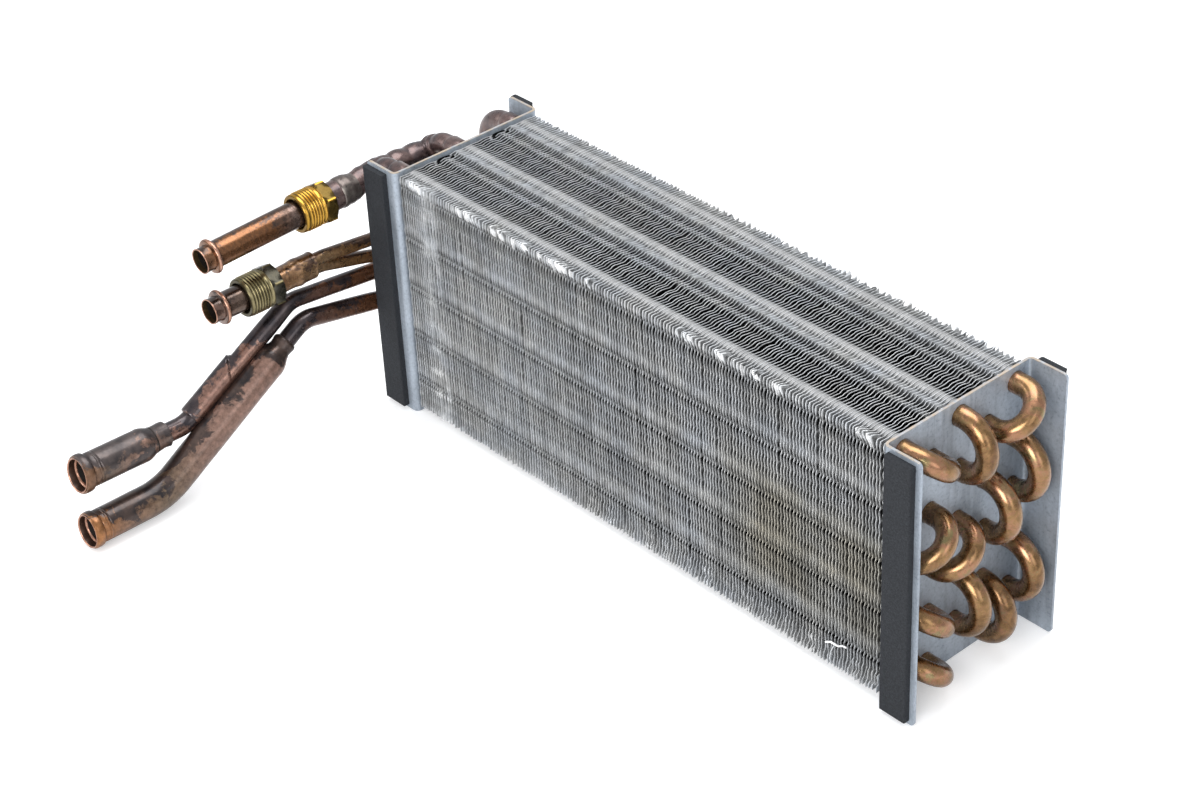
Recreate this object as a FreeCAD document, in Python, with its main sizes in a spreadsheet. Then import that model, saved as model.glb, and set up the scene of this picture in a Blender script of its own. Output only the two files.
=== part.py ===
import FreeCAD, Part
import math
import os
import Sketcher

# Evaporator coil: finned tube block, end plates, foam strips, return bends and pipes
# Coil axes: x along the tubes from the pipe-side plate, y from the front flanges, z up from the plate feet
SIZES = {
    # End plates
    "coil_length": 300.0,
    "plate_gauge": 1.2,
    "flange_width": 18.4,
    "fold_radius": 1.5,
    "flange_corner": 2.0,
    # Tube pattern
    "tube_diameter": 9.4,
    "tube_wall": 0.5,
    "row_pitch": 25.4,
    "column_pitch": 16.3,
    "tube_clearance": 0.05,
    "bend_reach": 19.4,
    "leg_stickout": 10.0,
    # Return bend sockets
    "socket_length": 6.5,
    "socket_wall": 0.6,
    "bend_straight": 0.8,
    # Fins, and how far they stay inside the plates' outline
    "fin_pitch": 1.8,
    "fin_thickness": 0.2,
    "fin_rim": 0.8,
    "fin_lip": 2.9,
    "fin_foot": 2.0,
    "fin_head": 1.7,
    "fin_inset": 2.3,
    # Foam strips
    "foam_width": 13.9,
    "foam_thickness": 3.0,
    "foam_inset_left": 4.5,
    "foam_inset_right": 2.0,
    "foam_edge": 0.6,
    # Brass unions and their beaded copper tubes
    "union_thread": 18.2,
    "union_thread_length": 11.0,
    "union_neck": 16.4,
    "union_neck_length": 5.0,
    "union_hex": 19.5,
    "union_hex_length": 7.4,
    "union_chamfer": 1.2,
    "pilot_diameter": 11.0,
    "pilot_wall": 0.9,
    "pilot_clearance": 0.1,
    "pilot_bead_rise": 2.0,
    "pilot_bead_width": 2.8,
    "pilot_lip_step": 0.4,
    "pilot_lip_length": 3.6,
    # Suction line
    "suction_drop": 3.5,
    "suction_length": 76.0,
    "suction_sleeve_length": 7.0,
    "suction_sleeve_wall": 1.05,
    "suction_sleeve_flare": 2.0,
    "header_diameter": 13.7,
    "header_wall": 1.0,
    "header_gap": 2.75,
    "header_clearance": 0.7,
    "header_front": 5.0,
    "header_mouth": 2.5,
    "header_climb": 9.5,
    "header_bend": 10.0,
    "header_tail": 6.5,
    "header_cap": 1.2,
    "stub_run": 15.0,
    # Liquid line
    "liquid_inset": 2.0,
    "liquid_length": 40.8,
    "union_nest": 0.7,
    "sleeve_mouth": 31.4,
    "sleeve_grip": 6.5,
    "sleeve_cone": 4.8,
    "sleeve_neck": 4.9,
    "sleeve_wall": 0.7,
    "sleeve_slack": 0.5,
    "feed_diameter": 6.35,
    "feed_wall": 0.7,
    "feed_lean": 23.6,
    "feed_lead": 6.0,
    "feed_sweep": 20.0,
    "feed_bend": 9.0,
    "feed_insert": 8.0,
    "front_feed_out": 2.5,
    "rear_feed_out": 1.0,
    "rear_feed_lead": 2.2,
    "rear_feed_dip": 3.7,
    "swage_length": 1.5,
    "swage_gap": 1.0,
    # Water pipes
    "water_slip": 0.2,
    "water_wall": 0.7,
    "water_bend": 14.0,
    "elbow_bend": 8.0,
    "lower_elbow_bend": 5.5,
    "flange_gap": 0.5,
    "pipe_offset": 5.5,
    "pipe_clearance": 0.4,
    "slope_angle": 33.0,
    "upper_kink_lead": 15.2,
    "upper_crest_shift": 3.0,
    "upper_slope": 70.0,
    "upper_dip_lead": 13.7,
    "upper_hose_tilt": 1.2,
    "upper_hose_length": 49.0,
    "upper_cone": 6.0,
    "coupling_wall": 0.5,
    "coupling_edge": 0.6,
    "coupling_length": 26.0,
    "coupling_setback": 7.0,
    "hose_diameter": 12.7,
    "hose_wall": 0.8,
    "hose_bead_rise": 1.05,
    "hose_bead_width": 3.6,
    "neck_wall": 1.15,
    "neck_length": 8.0,
    "lower_kink_lead": 8.4,
    "lower_kink_rise": 5.6,
    "lower_crest_reach": 41.4,
    "lower_crest_rise": 14.6,
    "lower_neck_start": 17.0,
    "lower_cone": 8.0,
    "lower_bend": 22.0,
    "lower_hose_reach": 170.5,
    "lower_hose_height": 7.8,
}

COLUMNS = 5
ROWS = 5
NAME = "Sizes"

# Hairpins as pairs of (column, row) tube places, in the order seen from the bend end
HAIRPINS = [
    ((0, 4), (1, 4)),
    ((2, 4), (2, 3)),
    ((4, 4), (3, 4)),
    ((4, 3), (4, 2)),
    ((3, 3), (3, 2)),
    ((1, 3), (0, 2)),
    ((2, 2), (1, 2)),
    ((4, 1), (4, 0)),
    ((2, 1), (2, 0)),
    ((3, 1), (3, 0)),
    ((0, 1), (1, 1)),
    ((0, 0), (1, 0)),
]

# Return bends on the pipe side: one in the front circuit, five in the rear one, three in the water circuit
RETURN_BENDS = [
    ((1, 4), (1, 3)),
    ((2, 3), (3, 4)),
    ((4, 4), (4, 3)),
    ((4, 2), (4, 1)),
    ((4, 0), (3, 0)),
    ((3, 1), (3, 2)),
    ((2, 2), (2, 1)),
    ((2, 0), (1, 0)),
    ((0, 0), (1, 1)),
]

# Tubes that the pipes join
SUCTION_TUBES = [(0, 4), (2, 4)]
FEED_TUBES = [(3, 3), (0, 2)]
UPPER_WATER_TUBE = (1, 2)
LOWER_WATER_TUBE = (0, 1)

doc = FreeCAD.newDocument("EvaporatorCoil")
sheet = doc.addObject("Spreadsheet::Sheet", NAME)
for line, (alias, value) in enumerate(SIZES.items(), start=1):
    sheet.set(f"A{line}", alias)
    sheet.set(f"B{line}", str(value))
    sheet.setAlias(f"B{line}", alias)
doc.recompute()

parts = []


def size(alias):
    return float(sheet.get(alias))


def bound(text):
    """Turns an expression in bare aliases into one that names the sheet."""
    words = sorted(SIZES, key=len, reverse=True)
    for number, word in enumerate(words):
        text = text.replace(word, f"@{number}@")
    for number, word in enumerate(words):
        text = text.replace(f"@{number}@", f"{NAME}.{word}")
    return text


def evaluate(owner, text):
    return float(owner.evalExpression(bound(text)))


def value(text):
    return evaluate(sheet, text)


def tube_y(column):
    return f"(fin_inset + fin_lip + tube_diameter / 2 + {column} * column_pitch)"


def tube_z(column, row):
    stagger = 0.5 if column % 2 == 0 else 0.0
    return f"(fin_foot + fin_rim + tube_diameter / 2 + {row + stagger} * row_pitch)"


def tube_centre(place):
    column, row = place
    return FreeCAD.Vector(0, value(tube_y(column)), value(tube_z(column, row)))


# Outlines of the fins and the plates, which follow the tube pattern
FIN_TOP = f"({tube_z(0, ROWS - 1)} + tube_diameter / 2 + fin_rim)"
FIN_BACK = f"({tube_y(COLUMNS - 1)} + tube_diameter / 2 + fin_lip)"
HEIGHT = f"({FIN_TOP} + fin_head)"
DEPTH = f"({FIN_BACK} + fin_inset)"

# Radii of the water tubes, their coupling and their hose ends, fitted to the hairpins' bore
WATER_R = "(tube_diameter / 2 - tube_wall - water_slip)"
COUPLING_R = f"({WATER_R} + tube_clearance + coupling_wall)"
SLEEVE_R = "(feed_diameter + sleeve_slack / 2 + sleeve_wall)"

# How far each line stands off the pipe-side plate
SUCTION_OFF = "(flange_width + header_diameter / 2 + header_gap)"
LIQUID_OFF = f"({SUCTION_OFF} - liquid_inset)"
LOWER_OFF = f"(flange_width + {WATER_R} + flange_gap)"
UPPER_OFF = f"({LOWER_OFF} + pipe_offset)"

# The header passes over the crown of the first return bend
CROWN_GAP = "(row_pitch / 2 + (tube_diameter + header_diameter) / 2 + header_clearance)"
CROWN_OFF = f"({SUCTION_OFF} - leg_stickout - socket_wall - bend_straight)"
HEADER_Z = f"(({tube_z(1, 4)} + {tube_z(1, 3)}) / 2 + sqrt({CROWN_GAP} ^ 2 - {CROWN_OFF} ^ 2))"
SUCTION_Z = f"({HEADER_Z} - suction_drop)"
SUCTION_NUT = "(header_front + suction_sleeve_length)"

# The upper water pipe runs down beside the lower one, and the liquid union rests over its crest
PIPE_GAP = f"sqrt((hose_diameter / 2 + {COUPLING_R} + pipe_clearance) ^ 2 - pipe_offset ^ 2)"
LOWER_CREST_Z = f"({tube_z(*LOWER_WATER_TUBE)} + lower_crest_rise)"
UPPER_CREST_Y = f"(lower_crest_reach + {PIPE_GAP} * sin(slope_angle) - upper_crest_shift * cos(slope_angle))"
UPPER_CREST_Z = f"({LOWER_CREST_Z} + {PIPE_GAP} * cos(slope_angle) + upper_crest_shift * sin(slope_angle))"
LIQUID_NUT = "(sleeve_mouth + sleeve_grip + sleeve_cone + sleeve_neck)"
CREST_FALL = f"(({LIQUID_NUT} - {UPPER_CREST_Y}) * tan(slope_angle))"
SADDLE_Z = f"({UPPER_CREST_Z} - {CREST_FALL} + {WATER_R} / cos(slope_angle))"
LIQUID_Z = f"({SADDLE_Z} + union_hex / 2 / cos(30) - union_nest)"

# The origin is the middle of the whole part's box on the surface it stands on
SHIFT_X = f"(({SUCTION_OFF} + union_hex / 2 - coil_length - bend_reach) / 2)"
SHIFT_Y = f"((lower_hose_reach - {DEPTH} - foam_thickness) / 2)"


# Building helpers
def make_body(label):
    body = doc.addObject("PartDesign::Body", label)
    body.Label = label
    body.AllowCompound = True
    parts.append(body)
    return body


def plane(body, role):
    return next(item for item in body.Origin.OriginFeatures if item.Role == role)


def new_sketch(body, name, role, offset=None):
    sketch = body.newObject("Sketcher::SketchObject", name)
    sketch.AttachmentSupport = [(plane(body, role), "")]
    sketch.MapMode = "FlatFace"
    if offset:
        sketch.setExpression("AttachmentOffset.Base.z", bound(offset))
    return sketch


def pin_point(sketch, geometry, point, x, y):
    """Ties one point of the sketch to coordinates given as expressions."""
    for kind, text in (("DistanceX", x), ("DistanceY", y)):
        row = sketch.addConstraint(Sketcher.Constraint(kind, -1, 1, geometry, point, evaluate(sketch, text)))
        sketch.setExpression(f"Constraints[{row}]", bound(text))


def add_polygon(sketch, corners):
    """Adds a closed outline whose corners are pairs of expressions."""
    first = sketch.GeometryCount
    count = len(corners)
    guess = [FreeCAD.Vector(*(evaluate(sketch, text) for text in corner), 0) for corner in corners]
    for number in range(count):
        sketch.addGeometry(Part.LineSegment(guess[number], guess[(number + 1) % count]), False)
    for number in range(count):
        following = (number + 1) % count
        sketch.addConstraint(Sketcher.Constraint("Coincident", first + number, 2, first + following, 1))
    for number, (x, y) in enumerate(corners):
        pin_point(sketch, first + number, 1, x, y)


def add_rectangle(sketch, left, right, low, high):
    add_polygon(sketch, [(left, low), (right, low), (right, high), (left, high)])


def add_circle(sketch, x, y, radius):
    centre = FreeCAD.Vector(evaluate(sketch, x), evaluate(sketch, y), 0)
    up = FreeCAD.Vector(0, 0, 1)
    circle = sketch.addGeometry(Part.Circle(centre, up, evaluate(sketch, radius)), False)
    pin_point(sketch, circle, 3, x, y)
    row = sketch.addConstraint(Sketcher.Constraint("Radius", circle, evaluate(sketch, radius)))
    sketch.setExpression(f"Constraints[{row}]", bound(radius))


def add_feature(body, kind, name, profile, **settings):
    feature = body.newObject(f"PartDesign::{kind}", name)
    feature.Profile = profile
    for key, value in settings.items():
        if isinstance(value, str) and key in ("Length", "Radius"):
            feature.setExpression(key, bound(value))
        else:
            setattr(feature, key, value)
    body.Tip = feature
    return feature


def place(thing, x, y, z, rotation="rotation(vector(1; 0; 0); 0)"):
    thing.setExpression("Placement", bound(f"placement(vector({x}; {y}; {z}); {rotation})"))


def straight_edges(shape, direction, test):
    """Names the straight edges along a direction whose middle passes the test."""
    names = []
    for number, edge in enumerate(shape.Edges, start=1):
        if not isinstance(edge.Curve, Part.Line):
            continue
        if abs(abs(edge.Curve.Direction.dot(direction)) - 1) < 1e-6 and test(edge.CenterOfMass):
            names.append(f"Edge{number}")
    return names


def fillet(body, name, base, edges, radius):
    feature = body.newObject("PartDesign::Fillet", name)
    feature.Base = (base, edges)
    feature.setExpression("Radius", bound(radius))
    body.Tip = feature
    return feature


# Fins: thin plates at one pitch, with windows that the tube columns pass through
def make_fins():
    body = make_body("fins")
    outline = new_sketch(body, "FinOutline", "YZ_Plane")
    add_rectangle(outline, "fin_inset", FIN_BACK, "fin_foot", FIN_TOP)
    grip = "(tube_diameter / 2 + tube_clearance)"
    for first, last in ((0, 1), (2, 2), (3, 4)):
        left = f"{tube_y(first)} - {grip}"
        right = f"{tube_y(last)} + {grip}"
        low_column = next((column for column in (first, last) if column % 2), first)
        low = f"{tube_z(low_column, 0)} - {grip}"
        high = f"{tube_z(0, ROWS - 1)} + {grip}"
        add_rectangle(outline, left, right, low, high)
    fin = add_feature(body, "Pad", "Fin", outline, Length="fin_thickness")
    doc.recompute()
    pattern = body.newObject("PartDesign::LinearPattern", "FinStack")
    pattern.Originals = [fin]
    pattern.Direction = (plane(body, "X_Axis"), [""])
    span = "(coil_length - 2 * plate_gauge - fin_thickness)"
    pattern.setExpression("Occurrences", bound(f"floor({span} / fin_pitch)"))
    pattern.setExpression("Length", bound(f"(floor({span} / fin_pitch) - 1) * fin_pitch"))
    body.Tip = pattern
    first_gap = f"(({span} - (floor({span} / fin_pitch) - 1) * fin_pitch) / 2)"
    place(body, f"{SHIFT_X} + plate_gauge + {first_gap}", SHIFT_Y, "0")


# End plates: folded channels with a punched hole at each tube place
def make_plate(label, right_end):
    body = make_body(label)
    section = new_sketch(body, "Channel", "XY_Plane")
    add_polygon(
        section,
        [
            ("-plate_gauge", "0"),
            ("flange_width", "0"),
            ("flange_width", "plate_gauge"),
            ("0", "plate_gauge"),
            ("0", f"{DEPTH} - plate_gauge"),
            ("flange_width", f"{DEPTH} - plate_gauge"),
            ("flange_width", DEPTH),
            ("-plate_gauge", DEPTH),
        ],
    )
    channel = add_feature(body, "Pad", "Folded", section, Length=HEIGHT)
    doc.recompute()
    up = FreeCAD.Vector(0, 0, 1)
    middle = value(DEPTH) / 2
    gauge = size("plate_gauge")
    inner = straight_edges(channel.Shape, up, lambda at: abs(at.x) < 1e-6)
    inside = fillet(body, "FoldInside", channel, inner, "fold_radius")
    doc.recompute()
    outer = straight_edges(inside.Shape, up, lambda at: abs(at.x + gauge) < 1e-6)
    outside = fillet(body, "FoldOutside", inside, outer, "fold_radius + plate_gauge")
    doc.recompute()
    across = FreeCAD.Vector(0, 1, 0)
    tips = straight_edges(
        outside.Shape,
        across,
        lambda at: abs(at.x - size("flange_width")) < 1e-6 and abs(abs(at.y - middle) - middle) < gauge,
    )
    cut = fillet(body, "FlangeCorners", outside, tips, "flange_corner")
    doc.recompute()
    bore = "tube_diameter / 2 + tube_clearance"
    last = cut
    for parity in (0, 1):
        hole = new_sketch(body, f"Hole{parity}", "YZ_Plane")
        add_circle(hole, tube_y(parity), tube_z(parity, 0), bore)
        through = "4 * plate_gauge"
        punched = add_feature(body, "Pocket", f"Punched{parity}", hole, Midplane=True, Length=through)
        doc.recompute()
        rows = body.newObject("PartDesign::MultiTransform", f"HoleField{parity}")
        rows.Originals = [punched]
        along = body.newObject("PartDesign::LinearPattern", f"Columns{parity}")
        along.Direction = (plane(body, "Y_Axis"), [""])
        columns = (COLUMNS + 1) // 2 - parity
        along.Occurrences = columns
        along.setExpression("Length", bound(f"{2 * (columns - 1)} * column_pitch"))
        upward = body.newObject("PartDesign::LinearPattern", f"Rows{parity}")
        upward.Direction = (plane(body, "Z_Axis"), [""])
        upward.Occurrences = ROWS
        upward.setExpression("Length", bound(f"{ROWS - 1} * row_pitch"))
        rows.Transformations = [along, upward]
        body.Tip = rows
        doc.recompute()
        if rows.Shape.Volume >= last.Shape.Volume:
            raise RuntimeError(f"{label}: the holes cut nothing")
        last = rows
    if right_end:
        place(body, f"{SHIFT_X} + coil_length", SHIFT_Y, "0")
    else:
        turn = "rotation(vector(0; 0; 1); 180)"
        place(body, SHIFT_X, f"{SHIFT_Y} + {DEPTH}", "0", turn)


# Foam strips: one on the outer face of each flange
def make_foam(label, right_end, at_back):
    body = make_body(label)
    face = new_sketch(body, "Strip", "XZ_Plane")
    add_rectangle(face, "0", "foam_width", "0", f"{HEIGHT} - 2 * flange_corner")
    strip = add_feature(body, "Pad", "Foam", face, Length="foam_thickness")
    doc.recompute()
    up = FreeCAD.Vector(0, 0, 1)
    outer = straight_edges(strip.Shape, up, lambda at: abs(at.y + size("foam_thickness")) < 1e-6)
    fillet(body, "FoamEdges", strip, outer, "foam_edge")
    near = "coil_length + foam_inset_right" if right_end else "- foam_inset_left - foam_width"
    if at_back:
        turn = "rotation(vector(0; 0; 1); 180)"
        place(body, f"{SHIFT_X} + ({near} + foam_width)", f"{SHIFT_Y} + {DEPTH}", "flange_corner", turn)
    else:
        place(body, f"{SHIFT_X} + ({near})", SHIFT_Y, "flange_corner")


# U tubes: a ring section swept along two legs and a half circle
def u_path(body, leg, straight, radius):
    path = new_sketch(body, "Path", "XY_Plane")
    far = evaluate(path, straight)
    back = -evaluate(path, leg)
    arm = evaluate(path, radius)
    point = FreeCAD.Vector
    path.addGeometry(Part.LineSegment(point(back, arm, 0), point(far, arm, 0)), False)
    circle = Part.Circle(point(far, 0, 0), point(0, 0, 1), arm)
    path.addGeometry(Part.ArcOfCircle(circle, -math.pi / 2, math.pi / 2), False)
    path.addGeometry(Part.LineSegment(point(far, -arm, 0), point(back, -arm, 0)), False)
    path.addConstraint(Sketcher.Constraint("Tangent", 0, 2, 1, 2))
    path.addConstraint(Sketcher.Constraint("Tangent", 1, 1, 2, 1))
    path.addConstraint(Sketcher.Constraint("Horizontal", 2))
    pin_point(path, 0, 1, f"-({leg})", radius)
    pin_point(path, 0, 2, straight, radius)
    pin_point(path, 2, 2, f"-({leg})", f"-({radius})")
    return path


def u_tube(body, leg, straight, radius):
    path = u_path(body, leg, straight, radius)
    ring = new_sketch(body, "Ring", "YZ_Plane", f"-({leg})")
    add_circle(ring, radius, "0", "tube_diameter / 2")
    add_circle(ring, radius, "0", "tube_diameter / 2 - tube_wall")
    doc.recompute()
    pipe = add_feature(body, "AdditivePipe", "Tube", ring)
    pipe.Spine = (path, ["Edge1", "Edge2", "Edge3"])
    doc.recompute()
    return pipe


def pair_radius(pair):
    """Half the distance between two neighbouring tube places."""
    if pair[0][0] == pair[1][0]:
        return "(row_pitch / 2)"
    return "(sqrt(column_pitch ^ 2 + (row_pitch / 2) ^ 2) / 2)"


def pair_placement(body, pair, x, turned):
    (column_a, row_a), (column_b, row_b) = pair
    y = f"(({tube_y(column_a)} + {tube_y(column_b)}) / 2)"
    z = f"(({tube_z(column_a, row_a)} + {tube_z(column_b, row_b)}) / 2)"
    lower, upper = sorted(pair, key=lambda place: tube_centre(place).z)
    rise = f"({tube_z(*upper)} - {tube_z(*lower)})"
    run = f"({tube_y(upper[0])} - {tube_y(lower[0])})"
    lean = f"rotation(vector(1; 0; 0); atan2({rise}; {run}))"
    if turned:
        lean = f"{lean} * rotation(vector(0; 0; 1); 180)"
    place(body, f"{SHIFT_X} + {x}", f"{SHIFT_Y} + {y}", z, lean)


def make_hairpin(number, pair):
    body = make_body(f"hairpin_{number:02d}")
    radius = pair_radius(pair)
    straight = f"(bend_reach - {radius} - tube_diameter / 2)"
    u_tube(body, "coil_length + leg_stickout", straight, radius)
    pair_placement(body, pair, "coil_length", False)


def make_return_bend(number, pair):
    body = make_body(f"return_bend_{number:02d}")
    radius = pair_radius(pair)
    straight = "socket_wall + bend_straight"
    u_tube(body, "0", straight, radius)
    outside = "tube_diameter / 2 + tube_clearance + socket_wall"
    shoulder = new_sketch(body, "Shoulder", "YZ_Plane")
    socket = new_sketch(body, "Socket", "YZ_Plane")
    for side in (radius, f"-{radius}"):
        add_circle(shoulder, side, "0", outside)
        add_circle(shoulder, side, "0", "tube_diameter / 2 - tube_wall")
        add_circle(socket, side, "0", outside)
        add_circle(socket, side, "0", "tube_diameter / 2 + tube_clearance")
    add_feature(body, "Pad", "SocketFloor", shoulder, Length="socket_wall")
    doc.recompute()
    add_feature(body, "Pad", "SocketWall", socket, Length="socket_length", Reversed=True)
    pair_placement(body, pair, "(-leg_stickout)", True)


# Turned pieces: an outline of (radius, height) corners revolved about the body's own z axis
def revolve(body, name, corners):
    outline = new_sketch(body, name + "Outline", "XZ_Plane")
    add_polygon(outline, corners)
    turned = add_feature(body, "Revolution", name, outline)
    turned.ReferenceAxis = (plane(body, "Z_Axis"), [""])
    turned.Angle = 360
    doc.recompute()
    return turned


# A union points its thread to the front, so its own z axis is laid along -y
FORWARD = "rotation(vector(1; 0; 0); 90)"


def make_union(label, standoff, height, back):
    body = make_body(label)
    bore = "(pilot_diameter / 2 + pilot_clearance)"
    neck_end = "(union_hex_length + union_neck_length)"
    tip = f"({neck_end} + union_thread_length)"
    revolve(
        body,
        "Threaded",
        [
            (bore, "0"),
            ("union_neck / 2", "0"),
            ("union_neck / 2", neck_end),
            ("union_thread / 2", neck_end),
            ("union_thread / 2", f"{tip} - union_chamfer"),
            ("union_thread / 2 - union_chamfer", tip),
            (bore, tip),
        ],
    )
    hexagon = new_sketch(body, "Hexagon", "XY_Plane")
    corner = "(union_hex / 2 / cos(30))"
    corners = [(f"{corner} * cos({60 * k + 30})", f"{corner} * sin({60 * k + 30})") for k in range(6)]
    add_polygon(hexagon, corners)
    add_circle(hexagon, "0", "0", bore)
    add_feature(body, "Pad", "HexagonHead", hexagon, Length="union_hex_length")
    doc.recompute()
    before = body.Shape.Volume
    trim = new_sketch(body, "CornerTrim", "XZ_Plane")
    wide = f"{corner} + union_chamfer"
    flat = "union_hex / 2"
    for level, way in (("0", "+"), ("union_hex_length", "-")):
        slanted = f"{level} {way} ({wide} - {flat}) * tan(30)"
        add_polygon(trim, [(flat, level), (wide, level), (wide, slanted)])
    groove = add_feature(body, "Groove", "HexagonChamfers", trim)
    groove.ReferenceAxis = (plane(body, "Z_Axis"), [""])
    groove.Angle = 360
    doc.recompute()
    if groove.Shape.Volume >= before:
        raise RuntimeError(f"{label}: the chamfers cut nothing")
    place(body, f"{SHIFT_X} - {standoff}", f"{SHIFT_Y} - {back}", height, FORWARD)


def make_pilot(label, standoff, height, nut, insert, reach):
    """The copper tube through a union, with an upset bead and a short lip past it."""
    body = make_body(label)
    length = f"({insert} + {reach})"
    bead_end = f"({length} - pilot_lip_length)"
    bead_start = f"({bead_end} - pilot_bead_width)"
    crown = "pilot_bead_width / 4"
    bead = "(pilot_diameter / 2 + pilot_bead_rise)"
    lip = "(pilot_diameter / 2 - pilot_lip_step)"
    bore = "(pilot_diameter / 2 - pilot_wall)"
    revolve(
        body,
        "Beaded",
        [
            (bore, "0"),
            ("pilot_diameter / 2", "0"),
            ("pilot_diameter / 2", f"{bead_start} - {crown}"),
            (f"{bead} - {crown}", bead_start),
            (bead, f"{bead_start} + {crown}"),
            (bead, f"{bead_end} - {crown}"),
            (f"{bead} - {crown}", bead_end),
            (lip, bead_end),
            (lip, length),
            (bore, length),
        ],
    )
    place(body, f"{SHIFT_X} - {standoff}", f"{SHIFT_Y} - {nut} + {insert}", height, FORWARD)


# Bent tubes: straight runs joined by tangent arcs, with a ring section
def bent_path(points, radii):
    edges = []
    start = points[0]
    for corner, before, after, radius in zip(points[1:-1], points, points[2:], radii):
        inward = (before - corner).normalize()
        outward = (after - corner).normalize()
        half = (math.pi - inward.getAngle(outward)) / 2
        reach = radius * math.tan(half)
        entry = corner + inward * reach
        leave = corner + outward * reach
        middle = corner + (inward + outward).normalize() * (radius / math.cos(half) - radius)
        edges.append(Part.LineSegment(start, entry).toShape())
        edges.append(Part.Arc(entry, middle, leave).toShape())
        start = leave
    edges.append(Part.LineSegment(start, points[-1]).toShape())
    return Part.Wire(edges)


def swept(path, radius):
    first = path.OrderedEdges[0]
    start = first.valueAt(first.FirstParameter)
    along = first.tangentAt(first.FirstParameter)
    section = Part.Wire(Part.Circle(start, along, radius).toShape())
    return path.makePipeShell([section], True, True)


def turned(start, along, profile):
    """A solid of revolution about a line, from (distance along it, radius) steps."""
    corners = [FreeCAD.Vector(0, 0, profile[0][0])]
    corners += [FreeCAD.Vector(radius, 0, distance) for distance, radius in profile]
    corners += [FreeCAD.Vector(0, 0, profile[-1][0]), corners[0]]
    face = Part.Face(Part.makePolygon(corners))
    solid = face.revolve(FreeCAD.Vector(0, 0, 0), FreeCAD.Vector(0, 0, 1), 360)
    solid.Placement = FreeCAD.Placement(start, FreeCAD.Rotation(FreeCAD.Vector(0, 0, 1), along))
    return solid


def add_shape(label, shape):
    feature = doc.addObject("Part::Feature", label)
    feature.Label = label
    feature.Shape = shape
    origin = FreeCAD.Vector(value(SHIFT_X), value(SHIFT_Y), 0)
    feature.Placement = FreeCAD.Placement(origin, FreeCAD.Rotation())
    parts.append(feature)
    return feature


def tube_shape(points, radii, radius, wall):
    path = bent_path(points, radii)
    return swept(path, radius).cut(swept(path, radius - wall))


# Suction line: header along y, two stubs from the coil and the joint sleeve
def header_line():
    x = -value(SUCTION_OFF)
    low = value(SUCTION_Z)
    high = value(HEADER_Z)
    front = -size("header_front")
    foot = front + size("header_mouth")
    top = foot + size("header_climb")
    back = tube_centre(SUCTION_TUBES[-1]).y + size("header_tail")
    point = FreeCAD.Vector
    return [point(x, front, low), point(x, foot, low), point(x, top, high), point(x, back, high)]


def make_header():
    points = header_line()
    bend = size("header_bend")
    outer = size("header_diameter") / 2
    inner = outer - size("header_wall")
    path = bent_path(points, [bend, bend])
    shell = swept(path, outer).cut(swept(path, inner))
    stubs = [stub_core(place) for place in SUCTION_TUBES]
    add_shape("suction_header", shell.cut(stubs))
    back = points[-1]
    cap = Part.makeCylinder(outer, size("header_cap"), back, FreeCAD.Vector(0, 1, 0))
    add_shape("header_cap", cap)


def stub_points(place):
    centre = tube_centre(place)
    x = -size("leg_stickout")
    start = FreeCAD.Vector(x, centre.y, centre.z)
    turn = FreeCAD.Vector(x - size("stub_run") / 2, centre.y, centre.z)
    end = FreeCAD.Vector(-value(SUCTION_OFF), centre.y, value(HEADER_Z))
    return [start, turn, end]


def stub_core(place):
    """The stub's bore, carried into the header as its side opening."""
    path = bent_path(stub_points(place), [size("elbow_bend")])
    return swept(path, size("tube_diameter") / 2 - size("tube_wall"))


def make_stub(label, place):
    outer = size("tube_diameter") / 2
    inner = outer - size("tube_wall")
    path = bent_path(stub_points(place), [size("elbow_bend")])
    tube = swept(path, outer).cut(stub_core(place))
    header = swept(bent_path(header_line(), [size("header_bend")] * 2), size("header_diameter") / 2)
    tube = tube.cut(header)
    floor = size("socket_wall")
    length = size("socket_length")
    fit = outer + size("tube_clearance")
    start = stub_points(place)[0]
    out = FreeCAD.Vector(1, 0, 0)
    cup = turned(start, out, [(-floor, fit + floor), (length, fit + floor)])
    cup = cup.cut(turned(start, out, [(0, fit), (length, fit)]))
    cup = cup.cut(turned(start, out, [(-2 * floor, inner), (floor, inner)]))
    add_shape(label, tube.fuse(cup).removeSplitter())


def make_suction_sleeve():
    """The copper sleeve between the union's tube and the header's mouth."""
    mouth = header_line()[0]
    nut = -value(SUCTION_NUT)
    start = FreeCAD.Vector(mouth.x, nut, mouth.z)
    length = mouth.y - nut
    along = FreeCAD.Vector(0, 1, 0)
    inner = size("pilot_diameter") / 2 + size("tube_clearance")
    outer = inner + size("suction_sleeve_wall")
    flare = size("header_diameter") / 2
    body = turned(start, along, [(0, outer), (length - size("suction_sleeve_flare"), outer), (length, flare)])
    add_shape("suction_sleeve", body.cut(turned(start, along, [(0, inner), (length, inner)])))


# Liquid line: a sleeve that gathers two thin feed tubes
def feed_ends():
    """Where the two feed tubes leave the sleeve, one above and outside the other."""
    spacing = size("feed_diameter") / 2 + size("tube_clearance")
    centre = FreeCAD.Vector(-value(LIQUID_OFF), -size("sleeve_mouth"), value(LIQUID_Z))
    angle = math.radians(size("feed_lean"))
    lean = FreeCAD.Vector(math.sin(angle), 0, math.cos(angle))
    return [centre + lean * spacing, centre - lean * spacing]


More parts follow.
